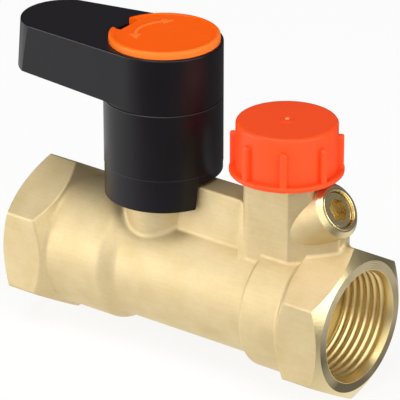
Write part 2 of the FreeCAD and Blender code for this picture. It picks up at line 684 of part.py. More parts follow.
def make_screw_washer():
    """Washer under the lever screw."""
    top = LEVER_FLOOR_Z + SCREW_WASHER_HEIGHT
    return tube(SCREW_WASHER_RADIUS, SCREW_RADIUS + SLIP_FIT, LEVER_FLOOR_Z, top, STEM_BASE)


def make_lever_screw():
    """Cap screw with a hexagon socket."""
    seat = LEVER_FLOOR_Z + SCREW_WASHER_HEIGHT
    top = seat + SCREW_HEAD_HEIGHT
    head = pillar(SCREW_HEAD_RADIUS, seat, top, STEM_BASE)
    shank = pillar(SCREW_RADIUS, seat - SCREW_LENGTH, seat, STEM_BASE)
    socket = upright_prism(6, SCREW_SOCKET, top - SCREW_HEAD_HEIGHT / 2.0, top)
    socket.translate(STEM_BASE)
    return head.fuse(shank).cut(socket)


def make_cover_disc():
    """Press-in cover over the lever screw, with a raised rim and a notch to lift it by."""
    top = LEVER_TOP + DISC_PROUD
    field = top - DISC_FIELD_DEPTH
    rim = DISC_RADIUS - DISC_RIM_WIDTH
    spigot_radius = SCREW_WELL_RADIUS - PART_GAP
    disc = turned([
        (0, DISC_SEAT_Z, 0),
        (DISC_RADIUS, DISC_SEAT_Z, 0),
        (DISC_RADIUS, top, DISC_ROUNDING),
        (rim, top, 0),
        (rim - DISC_FIELD_DEPTH, field, 0),
        (0, field, 0),
    ], STEM_BASE + ALONG * DISC_OFFSET)
    low = DISC_SEAT_Z - DISC_SPIGOT_LENGTH
    spigot = tube(spigot_radius, spigot_radius - DISC_SPIGOT_WALL, low, DISC_SEAT_Z, STEM_BASE)
    half = DISC_NOTCH_WIDTH / 2.0
    notch = block((-SLEEVE_RADIUS, -DISC_NOTCH_REACH), (-half, half), (DISC_SEAT_Z, top))
    notch.rotate(FreeCAD.Vector(), UP, LEVER_SKEW_DEG)
    notch.translate(STEM_BASE)
    return disc.fuse(spigot).cut(notch)


def make_drain_spindle():
    """Spindle with a soft-seal recess, ring groove, captive shoulder and hexagon socket."""
    section = SPINDLE_RING_SECTION
    groove = SPINDLE_RADIUS - section - RUNNING_FIT
    groove_low = SPINDLE_RING_AT - section / 2.0 - RUNNING_FIT
    groove_high = SPINDLE_RING_AT + section / 2.0 + RUNNING_FIT
    shoulder_low = SPINDLE_POCKET_FLOOR + PART_GAP
    shoulder_high = shoulder_low + SPINDLE_SHOULDER_HEIGHT
    recess = SPINDLE_SEAT + SPINDLE_SEAL_HEIGHT
    body = turned([
        (0, recess, 0),
        (SPINDLE_SEAL_RADIUS + RUNNING_FIT, recess, 0),
        (SPINDLE_SEAL_RADIUS + RUNNING_FIT, SPINDLE_TIP, 0),
        (SPINDLE_RADIUS, SPINDLE_TIP, 0),
        (SPINDLE_RADIUS, groove_low, 0),
        (groove, groove_low, 0),
        (groove, groove_high, 0),
        (SPINDLE_RADIUS, groove_high, 0),
        (SPINDLE_RADIUS, shoulder_low, 0),
        (SPINDLE_SHOULDER_RADIUS, shoulder_low, 0),
        (SPINDLE_SHOULDER_RADIUS, shoulder_high, 0),
        (SPINDLE_HEAD_RADIUS, shoulder_high, 0),
        (SPINDLE_HEAD_RADIUS, SPINDLE_FACE, SPINDLE_FACE_ROUNDING),
        (0, SPINDLE_FACE, 0),
    ])
    socket = upright_prism(6, SPINDLE_SOCKET, SPINDLE_FACE - SPINDLE_SOCKET_DEPTH, SPINDLE_FACE)
    return slanted(body.cut(socket))


def make_spindle_ring():
    """O-ring in the spindle groove."""
    return slanted(ring(SPINDLE_RADIUS, SPINDLE_RING_SECTION, SPINDLE_RING_AT))


def make_spindle_seal():
    """Soft disc in the spindle tip that closes the orifice."""
    return slanted(pillar(SPINDLE_SEAL_RADIUS, SPINDLE_SEAT, SPINDLE_SEAT + SPINDLE_SEAL_HEIGHT))


def make_stop_ring():
    """Ring in the mouth of the slanted boss that keeps the spindle captive."""
    inner = SPINDLE_HEAD_RADIUS + SLIP_FIT
    return slanted(tube(STOP_RING_RADIUS, inner, STOP_RING_AT, SPINDLE_RIM - RUNNING_FIT))


def cap_rib():
    """One grip rib of the cap, with a round top, at plan angle zero."""
    half = CAP_RIB_WIDTH / 2.0
    inner = (CAP_RADIUS + CAP_BORE_RADIUS) / 2.0
    low = FreeCAD.Vector(inner, -half, CAP_BOTTOM)
    shoulder = FreeCAD.Vector(inner, -half, CAP_RIB_TOP - half)
    peak = FreeCAD.Vector(inner, 0, CAP_RIB_TOP)
    far_shoulder = FreeCAD.Vector(inner, half, CAP_RIB_TOP - half)
    far_low = FreeCAD.Vector(inner, half, CAP_BOTTOM)
    outline = Part.Wire([
        Part.LineSegment(low, shoulder).toShape(),
        Part.Arc(shoulder, peak, far_shoulder).toShape(),
        Part.LineSegment(far_shoulder, far_low).toShape(),
        Part.LineSegment(far_low, low).toShape(),
    ])
    rib = Part.Face(outline).extrude(ALONG * (CAP_RIB_RADIUS - inner))
    rim = [edge for edge in rib.Edges if edge.BoundBox.XMin > CAP_RIB_RADIUS - SLIP_FIT
           and edge.BoundBox.ZMax > CAP_BOTTOM + SLIP_FIT]
    return rib.makeFillet(CAP_RIB_ROUNDING, rim)


def make_drain_cap():
    """Screw cap with a bottom flange, grip ribs and the moulding gate on top."""
    flange_top = CAP_BOTTOM + CAP_FLANGE_HEIGHT
    roof = CAP_TOP - CAP_ROOF
    cap = turned([
        (0, roof, 0),
        (CAP_BORE_RADIUS, roof, 0),
        (CAP_BORE_RADIUS, CAP_BOTTOM, 0),
        (CAP_FLANGE_RADIUS, CAP_BOTTOM, CAP_FLANGE_ROUNDING),
        (CAP_FLANGE_RADIUS, flange_top, CAP_FLANGE_ROUNDING),
        (CAP_RADIUS, flange_top, 0),
        (CAP_RADIUS, CAP_TOP, CAP_TOP_ROUNDING),
        (0, CAP_TOP, 0),
    ])
    pieces = [pillar(CAP_GATE_RADIUS, roof, CAP_TOP + CAP_GATE_HEIGHT)]
    for index in range(CAP_RIB_COUNT):
        rib = cap_rib()
        rib.rotate(FreeCAD.Vector(), UP, CAP_RIB_TURN_DEG + 360.0 * index / CAP_RIB_COUNT)
        pieces.append(rib)
    cap = cap.fuse(pieces).cut(pillar(CAP_BORE_RADIUS, 0, roof))
    cap.translate(DRAIN_BASE)
    return cap


def make_cap_gasket():
    """Flat seal between the cap's roof and the nipple."""
    return tube(GASKET_RADIUS, NIPPLE_BORE_RADIUS, NIPPLE_TOP, NIPPLE_TOP + GASKET_HEIGHT, DRAIN_BASE)


def make_nodes():
    """All pieces by name."""
    return {
        "valve_body": make_valve_body(),
        "seat_retainer": make_seat_retainer(),
        "seat_ring_inlet": make_seat(-1),
        "seat_ring_outlet": make_seat(1),
        "ball": make_ball(),
        "stem": make_stem(),
        "stem_thrust_washer": make_thrust_washer(),
        "stem_o_ring_lower": make_stem_ring(STEM_RING_Z[0]),
        "stem_o_ring_upper": make_stem_ring(STEM_RING_Z[1]),
        "neck_sleeve": make_neck_sleeve(),
        "lever": make_lever(),
        "lever_screw": make_lever_screw(),
        "lever_screw_washer": make_screw_washer(),
        "cover_disc": make_cover_disc(),
        "drain_spindle": make_drain_spindle(),
        "drain_spindle_o_ring": make_spindle_ring(),
        "drain_spindle_seal": make_spindle_seal(),
        "drain_spindle_stop_ring": make_stop_ring(),
        "drain_cap": make_drain_cap(),
        "drain_cap_gasket": make_cap_gasket(),
    }


os.makedirs("parts", exist_ok=True)
for name, shape in make_nodes().items():
    shape.exportStep("parts/" + name + ".step")
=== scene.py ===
import json
import math

import bpy
from bpy.props import FloatProperty, FloatVectorProperty, IntProperty, PointerProperty
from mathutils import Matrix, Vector


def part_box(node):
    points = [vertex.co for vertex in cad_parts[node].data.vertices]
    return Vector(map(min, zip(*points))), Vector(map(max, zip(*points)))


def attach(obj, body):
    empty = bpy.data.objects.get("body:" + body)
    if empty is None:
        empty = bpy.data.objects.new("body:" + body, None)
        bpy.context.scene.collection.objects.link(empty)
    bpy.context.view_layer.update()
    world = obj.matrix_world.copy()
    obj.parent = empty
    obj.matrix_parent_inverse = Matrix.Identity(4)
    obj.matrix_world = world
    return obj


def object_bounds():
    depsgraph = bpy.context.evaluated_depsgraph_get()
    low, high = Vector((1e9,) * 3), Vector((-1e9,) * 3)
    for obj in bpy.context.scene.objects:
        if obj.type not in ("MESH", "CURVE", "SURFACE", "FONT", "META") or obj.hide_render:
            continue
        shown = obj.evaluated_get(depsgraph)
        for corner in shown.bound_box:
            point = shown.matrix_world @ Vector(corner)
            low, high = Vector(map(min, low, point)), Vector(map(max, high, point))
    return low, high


bl_info = {
    "name": "Isolating valve dressing",
    "version": (1, 0, 0),
    "blender": (4, 5, 0),
    "location": "3D View > Sidebar > Valve",
    "description": "Finishes, threads, arrow mark and studio for a brass ball valve with a drain",
    "category": "Object",
}

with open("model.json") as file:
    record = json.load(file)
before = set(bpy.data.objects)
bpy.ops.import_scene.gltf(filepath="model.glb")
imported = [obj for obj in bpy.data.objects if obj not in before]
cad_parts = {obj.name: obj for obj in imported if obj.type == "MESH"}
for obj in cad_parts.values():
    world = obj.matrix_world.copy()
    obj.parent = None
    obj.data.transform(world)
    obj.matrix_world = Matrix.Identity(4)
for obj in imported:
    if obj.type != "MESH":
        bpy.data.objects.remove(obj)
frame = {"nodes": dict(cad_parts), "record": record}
CAD_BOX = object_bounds()

MM = 0.001
FULL_TURN = 2.0 * math.pi
UPRIGHT = (math.pi / 2.0, 0.0, 0.0)
ORIGIN = (0.0, 0.0, 0.0)
UP = (0.0, 0.0, 1.0)
RECORD = frame["record"]
MOUNTS = {mount["name"]: mount for mount in RECORD["mounts"]}
JOINTS = {joint["name"]: joint for joint in RECORD["behaviour"]["joints"]}
RATIOS = {rule["joint"]: rule["ratio"] for rule in RECORD["behaviour"]["couplings"]}

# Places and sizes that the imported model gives
BODY_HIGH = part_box("valve_body")[1]
CAP_LOW, CAP_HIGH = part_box("drain_cap")
GASKET_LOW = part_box("drain_cap_gasket")[0]
DISC_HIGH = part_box("cover_disc")[1]
PORT_RADIUS = MOUNTS["outlet_port"]["dims"]["r_mm"] * MM
PORT_DEPTH = MOUNTS["outlet_port"]["dims"]["length_mm"] * MM
LENGTH = MOUNTS["outlet_port"]["pos_m"][0]
STEM_X = JOINTS["lever_turn"]["pos_m"][0]
DRAIN_X = JOINTS["cap_turn"]["pos_m"][0]
SPINDLE_AT = Vector(JOINTS["spindle_turn"]["pos_m"])
SPINDLE_AXIS = Vector(JOINTS["spindle_turn"]["axis"])
CAP_PITCH = RATIOS["cap_lift"] * FULL_TURN

# Turned ends of the hexagons: radius of the flat face, and the chamfer's rise over its depth
HEX_FACE_INSET = 1.3 * MM
HEX_CHAMFER_DEPTH = 2.5 * MM
FACE_RADIUS = BODY_HIGH.y - HEX_FACE_INSET
CHAMFER_SLOPE = (BODY_HIGH.y * 2.0 / math.sqrt(3.0) - FACE_RADIUS) / HEX_CHAMFER_DEPTH

# Where the forging is cut: depth of the end faces, slack at the bores and the chamfer's cone,
# start and radius of the spindle boss's rim, and start of the nipple
END_SKIN = 0.05 * MM
BORE_SLACK = 0.1 * MM
CONE_SLACK = 0.06 * MM
RIM_START = 20.45 * MM
RIM_RADIUS = 8.2 * MM
NIPPLE_START = CAP_LOW.z + 1.4 * MM

# Patterns on the forging
PATCH_WIDTH = 9.0 * MM
STREAK_LENGTH = 8.0 * MM
STREAK_WIDTH = 0.7 * MM
STREAK_SHARE = 0.25
GRIT_WIDTH = 0.6 * MM
GRIT_DEPTH = 0.05 * MM
TOOL_STEP = 0.5 * MM
SWEEP_WIDTH = 16.0 * MM
# Height over which painted light on the cut ends rises from dark to bright
PAINTED_LIGHT_RISE = 70.0 * MM
# Length in which a wave texture of scale 1 repeats
WAVE_PERIOD = FULL_TURN / 20.0

# Gloss of the forging: blasted skin from its smoothest to its roughest, cut walls and end faces
SKIN_ROUGHNESS = (0.58, 0.74)
CUT_ROUGHNESS = 0.3
FACED_ROUGHNESS = 0.38

# Patterns on the other finishes: lathe streaks, clouds in the plating, flow of moulded plastic, a
# painted highlight on its mould lines with painted shade in a groove over each, and its painted rim
# highlight
LATHE_STREAK = 1.5 * MM
LATHE_DEPTH = 0.01 * MM
PLATE_CLOUD = 4.0 * MM
PLATE_SPREAD = 0.3
FLOW_WIDTH = 14.0 * MM
FLOW_SHADE = 0.93
GLOSS_SPREAD = 0.05
SEAM_HEIGHTS = (33.4 * MM, 53.15 * MM)
SEAM_HALF = 0.1 * MM
GROOVE_RISE = 0.3 * MM
GROOVE_HALF = 0.2 * MM
# Painted shade in the groove over each mould line
PAINTED_GROOVE_SHADE = (0.001, 0.001, 0.001, 1.0)
# Width of the painted highlight along the cover disc's rim
PAINTED_RIM_BAND = 0.9 * MM

# Thread ridges: base and rounding as shares of the pitch, crest as a share of the base, and how
# deep they are sunk into the wall. Points nearer to each other than the last length are merged
RIDGE_BASE = 0.94
RIDGE_CREST = 0.32
RIDGE_ROUNDING = 0.13
SUNK = 0.06 * MM
MERGE = 0.001 * MM

# Port's mouth: length (in lead-ins) and play of the cone that cuts the thread back; lip of the
# countersink inside the wall and behind the end face, its longer foot as a share of its depth,
# its rounded crest, and the slack in telling its corners apart
CUTTER_LENGTH = 3.0
CUTTER_PLAY = 0.1 * MM
MOUTH_LIP = 0.12 * MM
MOUTH_SETBACK = 0.02 * MM
MOUTH_FOOT = 0.4
MOUTH_ROUNDING = 0.25 * MM
CORNER_SLACK = 0.1 * MM

# Small pieces: steps, shares of height and width that round a bead, angle from which the arrow's
# edges are rounded, the nub's narrower top and rounding, and angle of smooth shading
BEAD_STEPS = 72
BEAD_ROUND_HEIGHT = 0.8
BEAD_ROUND_WIDTH = 0.45
ARROW_STEPS = 24
ARROW_EDGE = math.radians(40.0)
NUB_STEPS = 24
NUB_TOP = 0.72
NUB_ROUNDING = 0.6
SMOOTH_EDGE = math.radians(35.0)

# Lamps: direction from the target, distance and side in metres
LAMPS = {
    "key": ((-0.68, -0.72, 0.12), 1.1, 0.6),
    "front": ((0.6, -0.5, 0.62), 1.25, 1.7),
    "side": ((0.97, 0.0, 0.15), 1.0, 0.8),
    "top": ((-0.1, -0.35, 1.0), 1.1, 0.6),
}
# How the floor falls off in gloss: direction, and where the fall starts and ends
FLOOR_FALLS = (
    ((0.75, -0.66, 0.0), 45.0 * MM, 115.0 * MM),
    ((0.0, 1.0, 0.0), 75.0 * MM, 110.0 * MM),
)
FLOOR_DARK = 0.03
FLOOR_WHITE_SHARE = 0.86
FLOOR_WEAVE = 2.0 * MM
# Direction in which the studio is brighter
BRIGHT_SIDE = (0.5, -0.8, -0.33)

# Sockets of a mix node: its share, its two numbers and its two colours; output of a mixed colour
SHARE, NUMBER_A, NUMBER_B, COLOUR_A, COLOUR_B = 0, 2, 3, 6, 7
MIXED = 2


def linear(colour):
    """Linear RGBA of an sRGB hex colour."""
    parts = [int(colour[place:place + 2], 16) / 255.0 for place in (0, 2, 4)]
    low = [part / 12.92 for part in parts]
    high = [((part + 0.055) / 1.055) ** 2.4 for part in parts]
    return tuple(h if part > 0.04045 else w for part, w, h in zip(parts, low, high)) + (1.0,)


def length_property(name, description, millimetres):
    """A length that is shown in scene units."""
    return FloatProperty(name=name, description=description, default=millimetres * MM,
                         unit="LENGTH")


def colour_property(name, description, colour):
    """A colour written as sRGB hex."""
    return FloatVectorProperty(name=name, description=description, subtype="COLOR", size=4,
                               min=0.0, max=1.0, default=linear(colour))


def angle_property(name, description, degrees):
    """An angle that is shown in degrees."""
    return FloatProperty(name=name, description=description, default=math.radians(degrees),
                         subtype="ANGLE")


def watts_property(name, description, watts):
    """Power of a lamp."""
    return FloatProperty(name=name, description=description, default=watts)


class ValveThreads(bpy.types.PropertyGroup):
    """Sizes of the screw threads."""

    port_pitch: length_property("Port pitch", "Pitch of the one inch pipe thread", 2.309)
    port_height: length_property("Port thread height", "Height of the pipe thread's ridge", 0.95)
    port_lead_in: length_property("Lead-in", "Depth of the countersink at the mouth", 1.9)
    port_run_out: length_property("Run-out", "Plain length behind the pipe thread", 1.5)
    drain_height: length_property("Drain thread height", "Height of both drain thread ridges", 1.0)
    nipple_radius: length_property("Nipple wall", "Radius of the nipple's wall under the thread",
                                   12.06)
    cap_bore_radius: length_property("Cap wall", "Radius of the cap's wall under the thread", 13.35)
    nipple_base: length_property("Nipple base", "Height of the nipple's foot above the pipe axis",
                                 42.5)
    steps: IntProperty(name="Steps", description="Straight steps in one turn", default=96, min=24)


class ValveArrow(bpy.types.PropertyGroup):
    """Sizes of the raised turning arrow on the cover disc."""

    radius: length_property("Arc radius", "Radius of the arrow's bow", 10.3)
    centre_x: length_property("Arc centre X", "Bow centre from the stem axis, along the pipe", 2.8)
    centre_y: length_property("Arc centre Y", "Bow centre from the stem axis, across the pipe", 0.5)
    sweep: angle_property("Sweep", "Angle between the middles of the two heads", 86.0)
    width: length_property("Line width", "Width of the arrow's line", 1.1)
    field_depth: length_property("Field depth", "Depth of the disc's field under its rim", 0.25)
    height: length_property("Height", "Height above the disc's field", 0.22)
    head: length_property("Head", "Radius of the triangle at each end", 2.2)
    rounding: length_property("Rounding", "Rounded edge of the arrow", 0.16)


class ValveRoot(bpy.types.PropertyGroup):
    """Sizes of the root that joins the stop web to the drain block."""

    flare_x: length_property("Flare end", "Where the web's flare ends, along the pipe", 77.68)
    side_x: length_property("Side start", "Start of the block's flat side, along the pipe", 81.3)
    side_y: length_property("Side", "Half width of the block, just under its skin", 8.59)
    inner_y: length_property("Inner side", "Where the root starts, inside the web", 2.0)
    foot_y: length_property("Flare at the foot", "Half width of the flare at its foot", 9.09)
    head_y: length_property("Flare at the top", "Half width of the flare at its top", 6.97)
    foot_z: length_property("Foot", "Height of the root's foot, inside the body", 14.0)
    head_z: length_property("Top", "Height of the root's top, just over the web", 31.2)
    rounding: length_property("Rounding", "Rounded top edge of the root", 0.7)


class ValveBead(bpy.types.PropertyGroup):
    """Sizes of the rounded bead on the spindle's stop ring."""

    along: length_property("Along the spindle", "Place of the ring's face on its axis", 21.65)
    radius: length_property("Radius", "Middle radius of the bead", 5.85)
    width: length_property("Width", "Width of the bead", 0.8)
    height: length_property("Height", "Height of the bead", 0.35)


class ValveGate(bpy.types.PropertyGroup):
    """Sizes of the gate mark on the drain cap."""

    gate_height: length_property("Gate height", "Height of the cap's gate above its top", 0.3)
    nub_radius: length_property("Nub", "Radius of the torn nub", 0.75)
    nub_height: length_property("Nub height", "Height of the nub above the gate", 0.2)
    ring_radius: length_property("Ring", "Radius of the faint ring", 2.2)
    ring_width: length_property("Ring width", "Width of the faint ring", 0.45)
    ring_height: length_property("Ring height", "Height of the faint ring", 0.1)


class ValveColours(bpy.types.PropertyGroup):
    """Colours of the finishes."""

    forged_brass: colour_property("Forged brass", "Sand-blasted forging", "E3D2AA")
    forged_shade: colour_property("Forged brass, dull", "Duller patches of the forging", "D7C394")
    turned_brass: colour_property("Turned brass", "Bright cut brass", "E8D5A2")
    tapped_brass: colour_property("Tapped brass", "Satin pipe threads", "EAD398")
    # Cut ends: a dark colour painted as a dark reflection, and a bright one as painted light
    faced_painted_dark_reflection: colour_property("Faced brass", "Flat cut ends of the hexagons", "5F5539")
    faced_painted_highlight: colour_property("Faced brass, bright", "Bright sweeps of the cut ends", "D6C69E")
    black_nylon: colour_property("Black nylon", "Lever and sleeve", "0F0B10")
    orange_abs: colour_property("Orange ABS", "Cover disc", "FF6000")
    # Painted highlights: the disc's rim and the raised arrow are a paler orange, for light caught
    # on their edges
    rim_painted_highlight_abs: colour_property("Orange ABS, rim", "Rim of the cover disc, rubbed lighter", "FA7A2A")
    arrow_painted_highlight_abs: colour_property("Orange ABS, raised", "Raised arrow, worn lighter", "FF7A26")
    gate_polyethylene: colour_property("Red polyethylene, torn", "Lighter gate mark on the cap",
                                       "FF9068")
    red_polyethylene: colour_property("Red polyethylene", "Drain cap", "F64E1C")
    chrome: colour_property("Chrome plate", "Ball", "C9CACC")
    white_ptfe: colour_property("White PTFE", "Seats and thrust washer", "E8E7E2")
    # Painted highlight on the mould lines of the black parts
    seam: colour_property("Mould seam", "Lighter line where the moulds of the black parts meet",
                          "39363A")
    black_rubber: colour_property("Black rubber", "O-rings, seal and gasket", "1B1B1C")
    zinc_steel: colour_property("Zinc plated steel", "Lever screw and washer", "B9BABB")
    floor: colour_property("Floor", "Pale studio floor", "F7F6F4")
    surround: colour_property("Surround", "Studio on the camera's side", "A8A8AA")
    far_surround: colour_property("Far surround", "Darker studio behind the object", "606062")


class ValveStudio(bpy.types.PropertyGroup):
    """Camera and light."""

    azimuth: angle_property("Azimuth", "Camera's turn about the upright axis", 37.054)
    elevation: angle_property("Elevation", "Camera's height angle", 24.368)
    distance: length_property("Distance", "Camera's distance from its target", 957.06)
    target_x: length_property("Target X", "Point that the camera looks at, along the pipe", 57.764)
    target_z: length_property("Target Z", "Point that the camera looks at, above the pipe axis",
                              23.637)
    lens: FloatProperty(name="Lens", description="Focal length in millimetres", default=300.55)
    key_watts: watts_property("Key", "Light on the front left, in watts", 7.2)
    front_watts: watts_property("Front", "Light behind the camera, in watts", 9.4)
    side_watts: watts_property("Side", "Light at the outlet end, in watts", 6.0)
    top_watts: watts_property("Top", "Light over the object, in watts", 5.6)
    floor_size: FloatProperty(name="Floor", description="Side of the floor", default=8.0,
                              unit="LENGTH")


def add_node(tree, kind, inputs=None, **settings):
    """Add a node with its settings; an input is a plain value or another node's output."""
    node = tree.nodes.new(kind)
    for key, value in settings.items():
        setattr(node, key, value)
    for socket, value in (inputs or {}).items():
        if isinstance(value, bpy.types.NodeSocket):
            tree.links.new(value, node.inputs[socket])
        else:
            node.inputs[socket].default_value = value
    return node


def new_material(name):
    """An empty material with its node tree."""
    material = bpy.data.materials.new(name)
    material.use_nodes = True
    material.node_tree.nodes.clear()
    return material, material.node_tree


def finish_material(tree, inputs):
    """Close a material with its surface shader."""
    shader = add_node(tree, "ShaderNodeBsdfPrincipled", inputs)
    add_node(tree, "ShaderNodeOutputMaterial", {"Surface": shader.outputs["BSDF"]})


def dress(names, material):
    """Give CAD nodes a material."""
    for name in names:
        slots = frame["nodes"][name].data.materials
        slots.clear()
        slots.append(material)


def worn_by(name):
    """Material that a CAD node wears."""
    return frame["nodes"][name].data.materials[0]


def forged_brass_material(colours):
    """Sand-blasted brass forging, with cut faces at its ends, in its bores and on its boss."""
    # To the eye: pale matt gold, faintly cloudy, with shiny chamfers, and cut ends painted
    # dark grey-olive as a painted dark reflection, lighter towards the top as painted light
    material, tree = new_material("sand_blasted_forged_brass")
    place = add_node(tree, "ShaderNodeTexCoord").outputs["Object"]
    axes = add_node(tree, "ShaderNodeSeparateXYZ", {"Vector": place})

    # Flat cut ends: a thin skin at both ends of the pipe run
    off_middle = add_node(tree, "ShaderNodeMath", {0: axes.outputs["X"], 1: LENGTH / 2.0},
                          operation="SUBTRACT")
    reach = add_node(tree, "ShaderNodeMath", {0: off_middle.outputs[0]}, operation="ABSOLUTE")
    ends = add_node(tree, "ShaderNodeMath", {0: reach.outputs[0], 1: LENGTH / 2.0 - END_SKIN},
                    operation="GREATER_THAN")

    # Bores: everything nearer to the pipe axis than the port's wall
    across = add_node(tree, "ShaderNodeVectorMath", {0: place, 1: (0.0, 1.0, 1.0)},
                      operation="MULTIPLY")
    radius = add_node(tree, "ShaderNodeVectorMath", {0: across.outputs[0]}, operation="LENGTH")
    bores = add_node(tree, "ShaderNodeMath",
                     {0: radius.outputs["Value"], 1: PORT_RADIUS + BORE_SLACK},
                     operation="LESS_THAN")

    # Turned chamfer of the hexagon ends: a cone that starts at the edge of the flat cut end
    depth = add_node(tree, "ShaderNodeMath", {0: LENGTH / 2.0, 1: reach.outputs[0]},
                     operation="SUBTRACT")
    cone = add_node(tree, "ShaderNodeMath",
                    {0: depth.outputs[0], 1: CHAMFER_SLOPE, 2: FACE_RADIUS},
                    operation="MULTIPLY_ADD")
    chamfer = add_node(tree, "ShaderNodeMath",
                       {0: radius.outputs["Value"], 1: cone.outputs[0], 2: CONE_SLACK},
                       operation="COMPARE")

    # Spindle boss: its cut rim and its bore
    from_cross = add_node(tree, "ShaderNodeVectorMath", {0: place, 1: SPINDLE_AT},
                          operation="SUBTRACT")
    along = add_node(tree, "ShaderNodeVectorMath", {0: from_cross.outputs[0], 1: SPINDLE_AXIS},
                     operation="DOT_PRODUCT")
    slant = add_node(tree, "ShaderNodeVectorMath",
                     {0: SPINDLE_AXIS, "Scale": along.outputs["Value"]}, operation="SCALE")
    off_axis = add_node(tree, "ShaderNodeVectorMath",
                        {0: from_cross.outputs[0], 1: slant.outputs[0]}, operation="DISTANCE")
    past_rim = add_node(tree, "ShaderNodeMath", {0: along.outputs["Value"], 1: RIM_START},
                        operation="GREATER_THAN")
    near_axis = add_node(tree, "ShaderNodeMath", {0: off_axis.outputs["Value"], 1: RIM_RADIUS},
                         operation="LESS_THAN")
    rim = add_node(tree, "ShaderNodeMath", {0: past_rim.outputs[0], 1: near_axis.outputs[0]},
                   operation="MULTIPLY")

    # Nipple under the cap, then all that is cut
    nipple = add_node(tree, "ShaderNodeMath", {0: axes.outputs["Z"], 1: NIPPLE_START},
                      operation="GREATER_THAN")
    cut = bores
    for region in (rim, nipple, chamfer):
        cut = add_node(tree, "ShaderNodeMath", {0: cut.outputs[0], 1: region.outputs[0]},
                       operation="MAXIMUM")

    # Blasted skin: wide duller patches, crossed by draw marks along the pipe and covered with grit.
    # Marks and grit are drawn coarser than they are, so that they show
    patches = add_node(tree, "ShaderNodeTexNoise",
                       {"Vector": place, "Scale": 1.0 / PATCH_WIDTH, "Detail": 3.0,
                        "Roughness": 0.55})
    drawn = add_node(tree, "ShaderNodeMapping",
                     {"Vector": place,
                      "Scale": (1.0 / STREAK_LENGTH, 1.0 / STREAK_WIDTH, 1.0 / STREAK_WIDTH)})
    streaks = add_node(tree, "ShaderNodeTexNoise",
                       {"Vector": drawn.outputs["Vector"], "Scale": 1.0, "Detail": 2.0})
    blend = add_node(tree, "ShaderNodeMix",
                     {SHARE: STREAK_SHARE, NUMBER_A: patches.outputs["Fac"],
                      NUMBER_B: streaks.outputs["Fac"]})
    dull = add_node(tree, "ShaderNodeMapRange",
                    {"Value": blend.outputs[0], "From Min": 0.3, "From Max": 0.7})
    skin = add_node(tree, "ShaderNodeMix",
                    {SHARE: dull.outputs[0], COLOUR_A: tuple(colours.forged_brass),
                     COLOUR_B: tuple(colours.forged_shade)}, data_type="RGBA")
    grit = add_node(tree, "ShaderNodeTexNoise",
                    {"Vector": place, "Scale": 1.0 / GRIT_WIDTH, "Detail": 2.0, "Roughness": 0.6})

    # Facing cut: tool rings, drawn coarser than they are so that they show, and dull and bright
    # sweeps at random. The dull colour is a painted dark reflection, and the sweeps are pushed
    # brighter towards the top as painted light
    rings = add_node(tree, "ShaderNodeTexWave",
                     {"Vector": place, "Scale": WAVE_PERIOD / TOOL_STEP, "Distortion": 0.4},
                     wave_type="RINGS", rings_direction="X")
    sweeps = add_node(tree, "ShaderNodeTexNoise",
                      {"Vector": place, "Scale": 1.0 / SWEEP_WIDTH, "Detail": 1.0})
    sweep = add_node(tree, "ShaderNodeMath",
                     {0: axes.outputs["Z"], 1: 1.0 / PAINTED_LIGHT_RISE, 2: sweeps.outputs["Fac"]},
                     operation="MULTIPLY_ADD")
    sweep = add_node(tree, "ShaderNodeMapRange",
                     {"Value": sweep.outputs[0], "From Min": 0.25, "From Max": 0.75})
    painted_faced_colour = add_node(tree, "ShaderNodeMix",
                     {SHARE: sweep.outputs[0], COLOUR_A: tuple(colours.faced_painted_dark_reflection),
                      COLOUR_B: tuple(colours.faced_painted_highlight)}, data_type="RGBA")

    # The skin, then the cut walls over it, then the cut ends
    colour = skin
    rough = add_node(tree, "ShaderNodeMapRange",
                     {"Value": grit.outputs["Fac"], "To Min": SKIN_ROUGHNESS[0],
                      "To Max": SKIN_ROUGHNESS[1]})
    layers = ((cut, tuple(colours.turned_brass), CUT_ROUGHNESS),
              (ends, painted_faced_colour.outputs[MIXED], FACED_ROUGHNESS))
    for region, finish, gloss in layers:
        colour = add_node(tree, "ShaderNodeMix",
                          {SHARE: region.outputs[0], COLOUR_A: colour.outputs[MIXED],
                           COLOUR_B: finish}, data_type="RGBA")
        rough = add_node(tree, "ShaderNodeMix",
                         {SHARE: region.outputs[0], NUMBER_A: rough.outputs[0], NUMBER_B: gloss})
    height = add_node(tree, "ShaderNodeMix",
                      {SHARE: ends.outputs[0], NUMBER_A: grit.outputs["Fac"],
                       NUMBER_B: rings.outputs["Fac"]})
    bump = add_node(tree, "ShaderNodeBump",
                    {"Height": height.outputs[0], "Strength": 0.8, "Distance": GRIT_DEPTH})
    finish_material(tree, {
        "Base Color": colour.outputs[MIXED],
        "Metallic": 1.0,
        "Roughness": rough.outputs[0],
        "Normal": bump.outputs["Normal"],
    })
    return material


def turned_brass_material(name, colour, gloss):
    """Brass cut on a lathe, with a faint streak in the gloss."""
    # To the eye: clear yellow metal with soft bright highlights
    material, tree = new_material(name)
    place = add_node(tree, "ShaderNodeTexCoord").outputs["Object"]
    streaks = add_node(tree, "ShaderNodeTexNoise",
                       {"Vector": place, "Scale": 1.0 / LATHE_STREAK, "Detail": 3.0})
    rough = add_node(tree, "ShaderNodeMapRange",
                     {"Value": streaks.outputs["Fac"], "To Min": gloss - GLOSS_SPREAD,
                      "To Max": gloss + GLOSS_SPREAD})
    bump = add_node(tree, "ShaderNodeBump",
                    {"Height": streaks.outputs["Fac"], "Strength": 0.3, "Distance": LATHE_DEPTH})
    finish_material(tree, {
        "Base Color": tuple(colour),
        "Metallic": 1.0,
        "Roughness": rough.outputs[0],
        "Normal": bump.outputs["Normal"],
    })
    return material


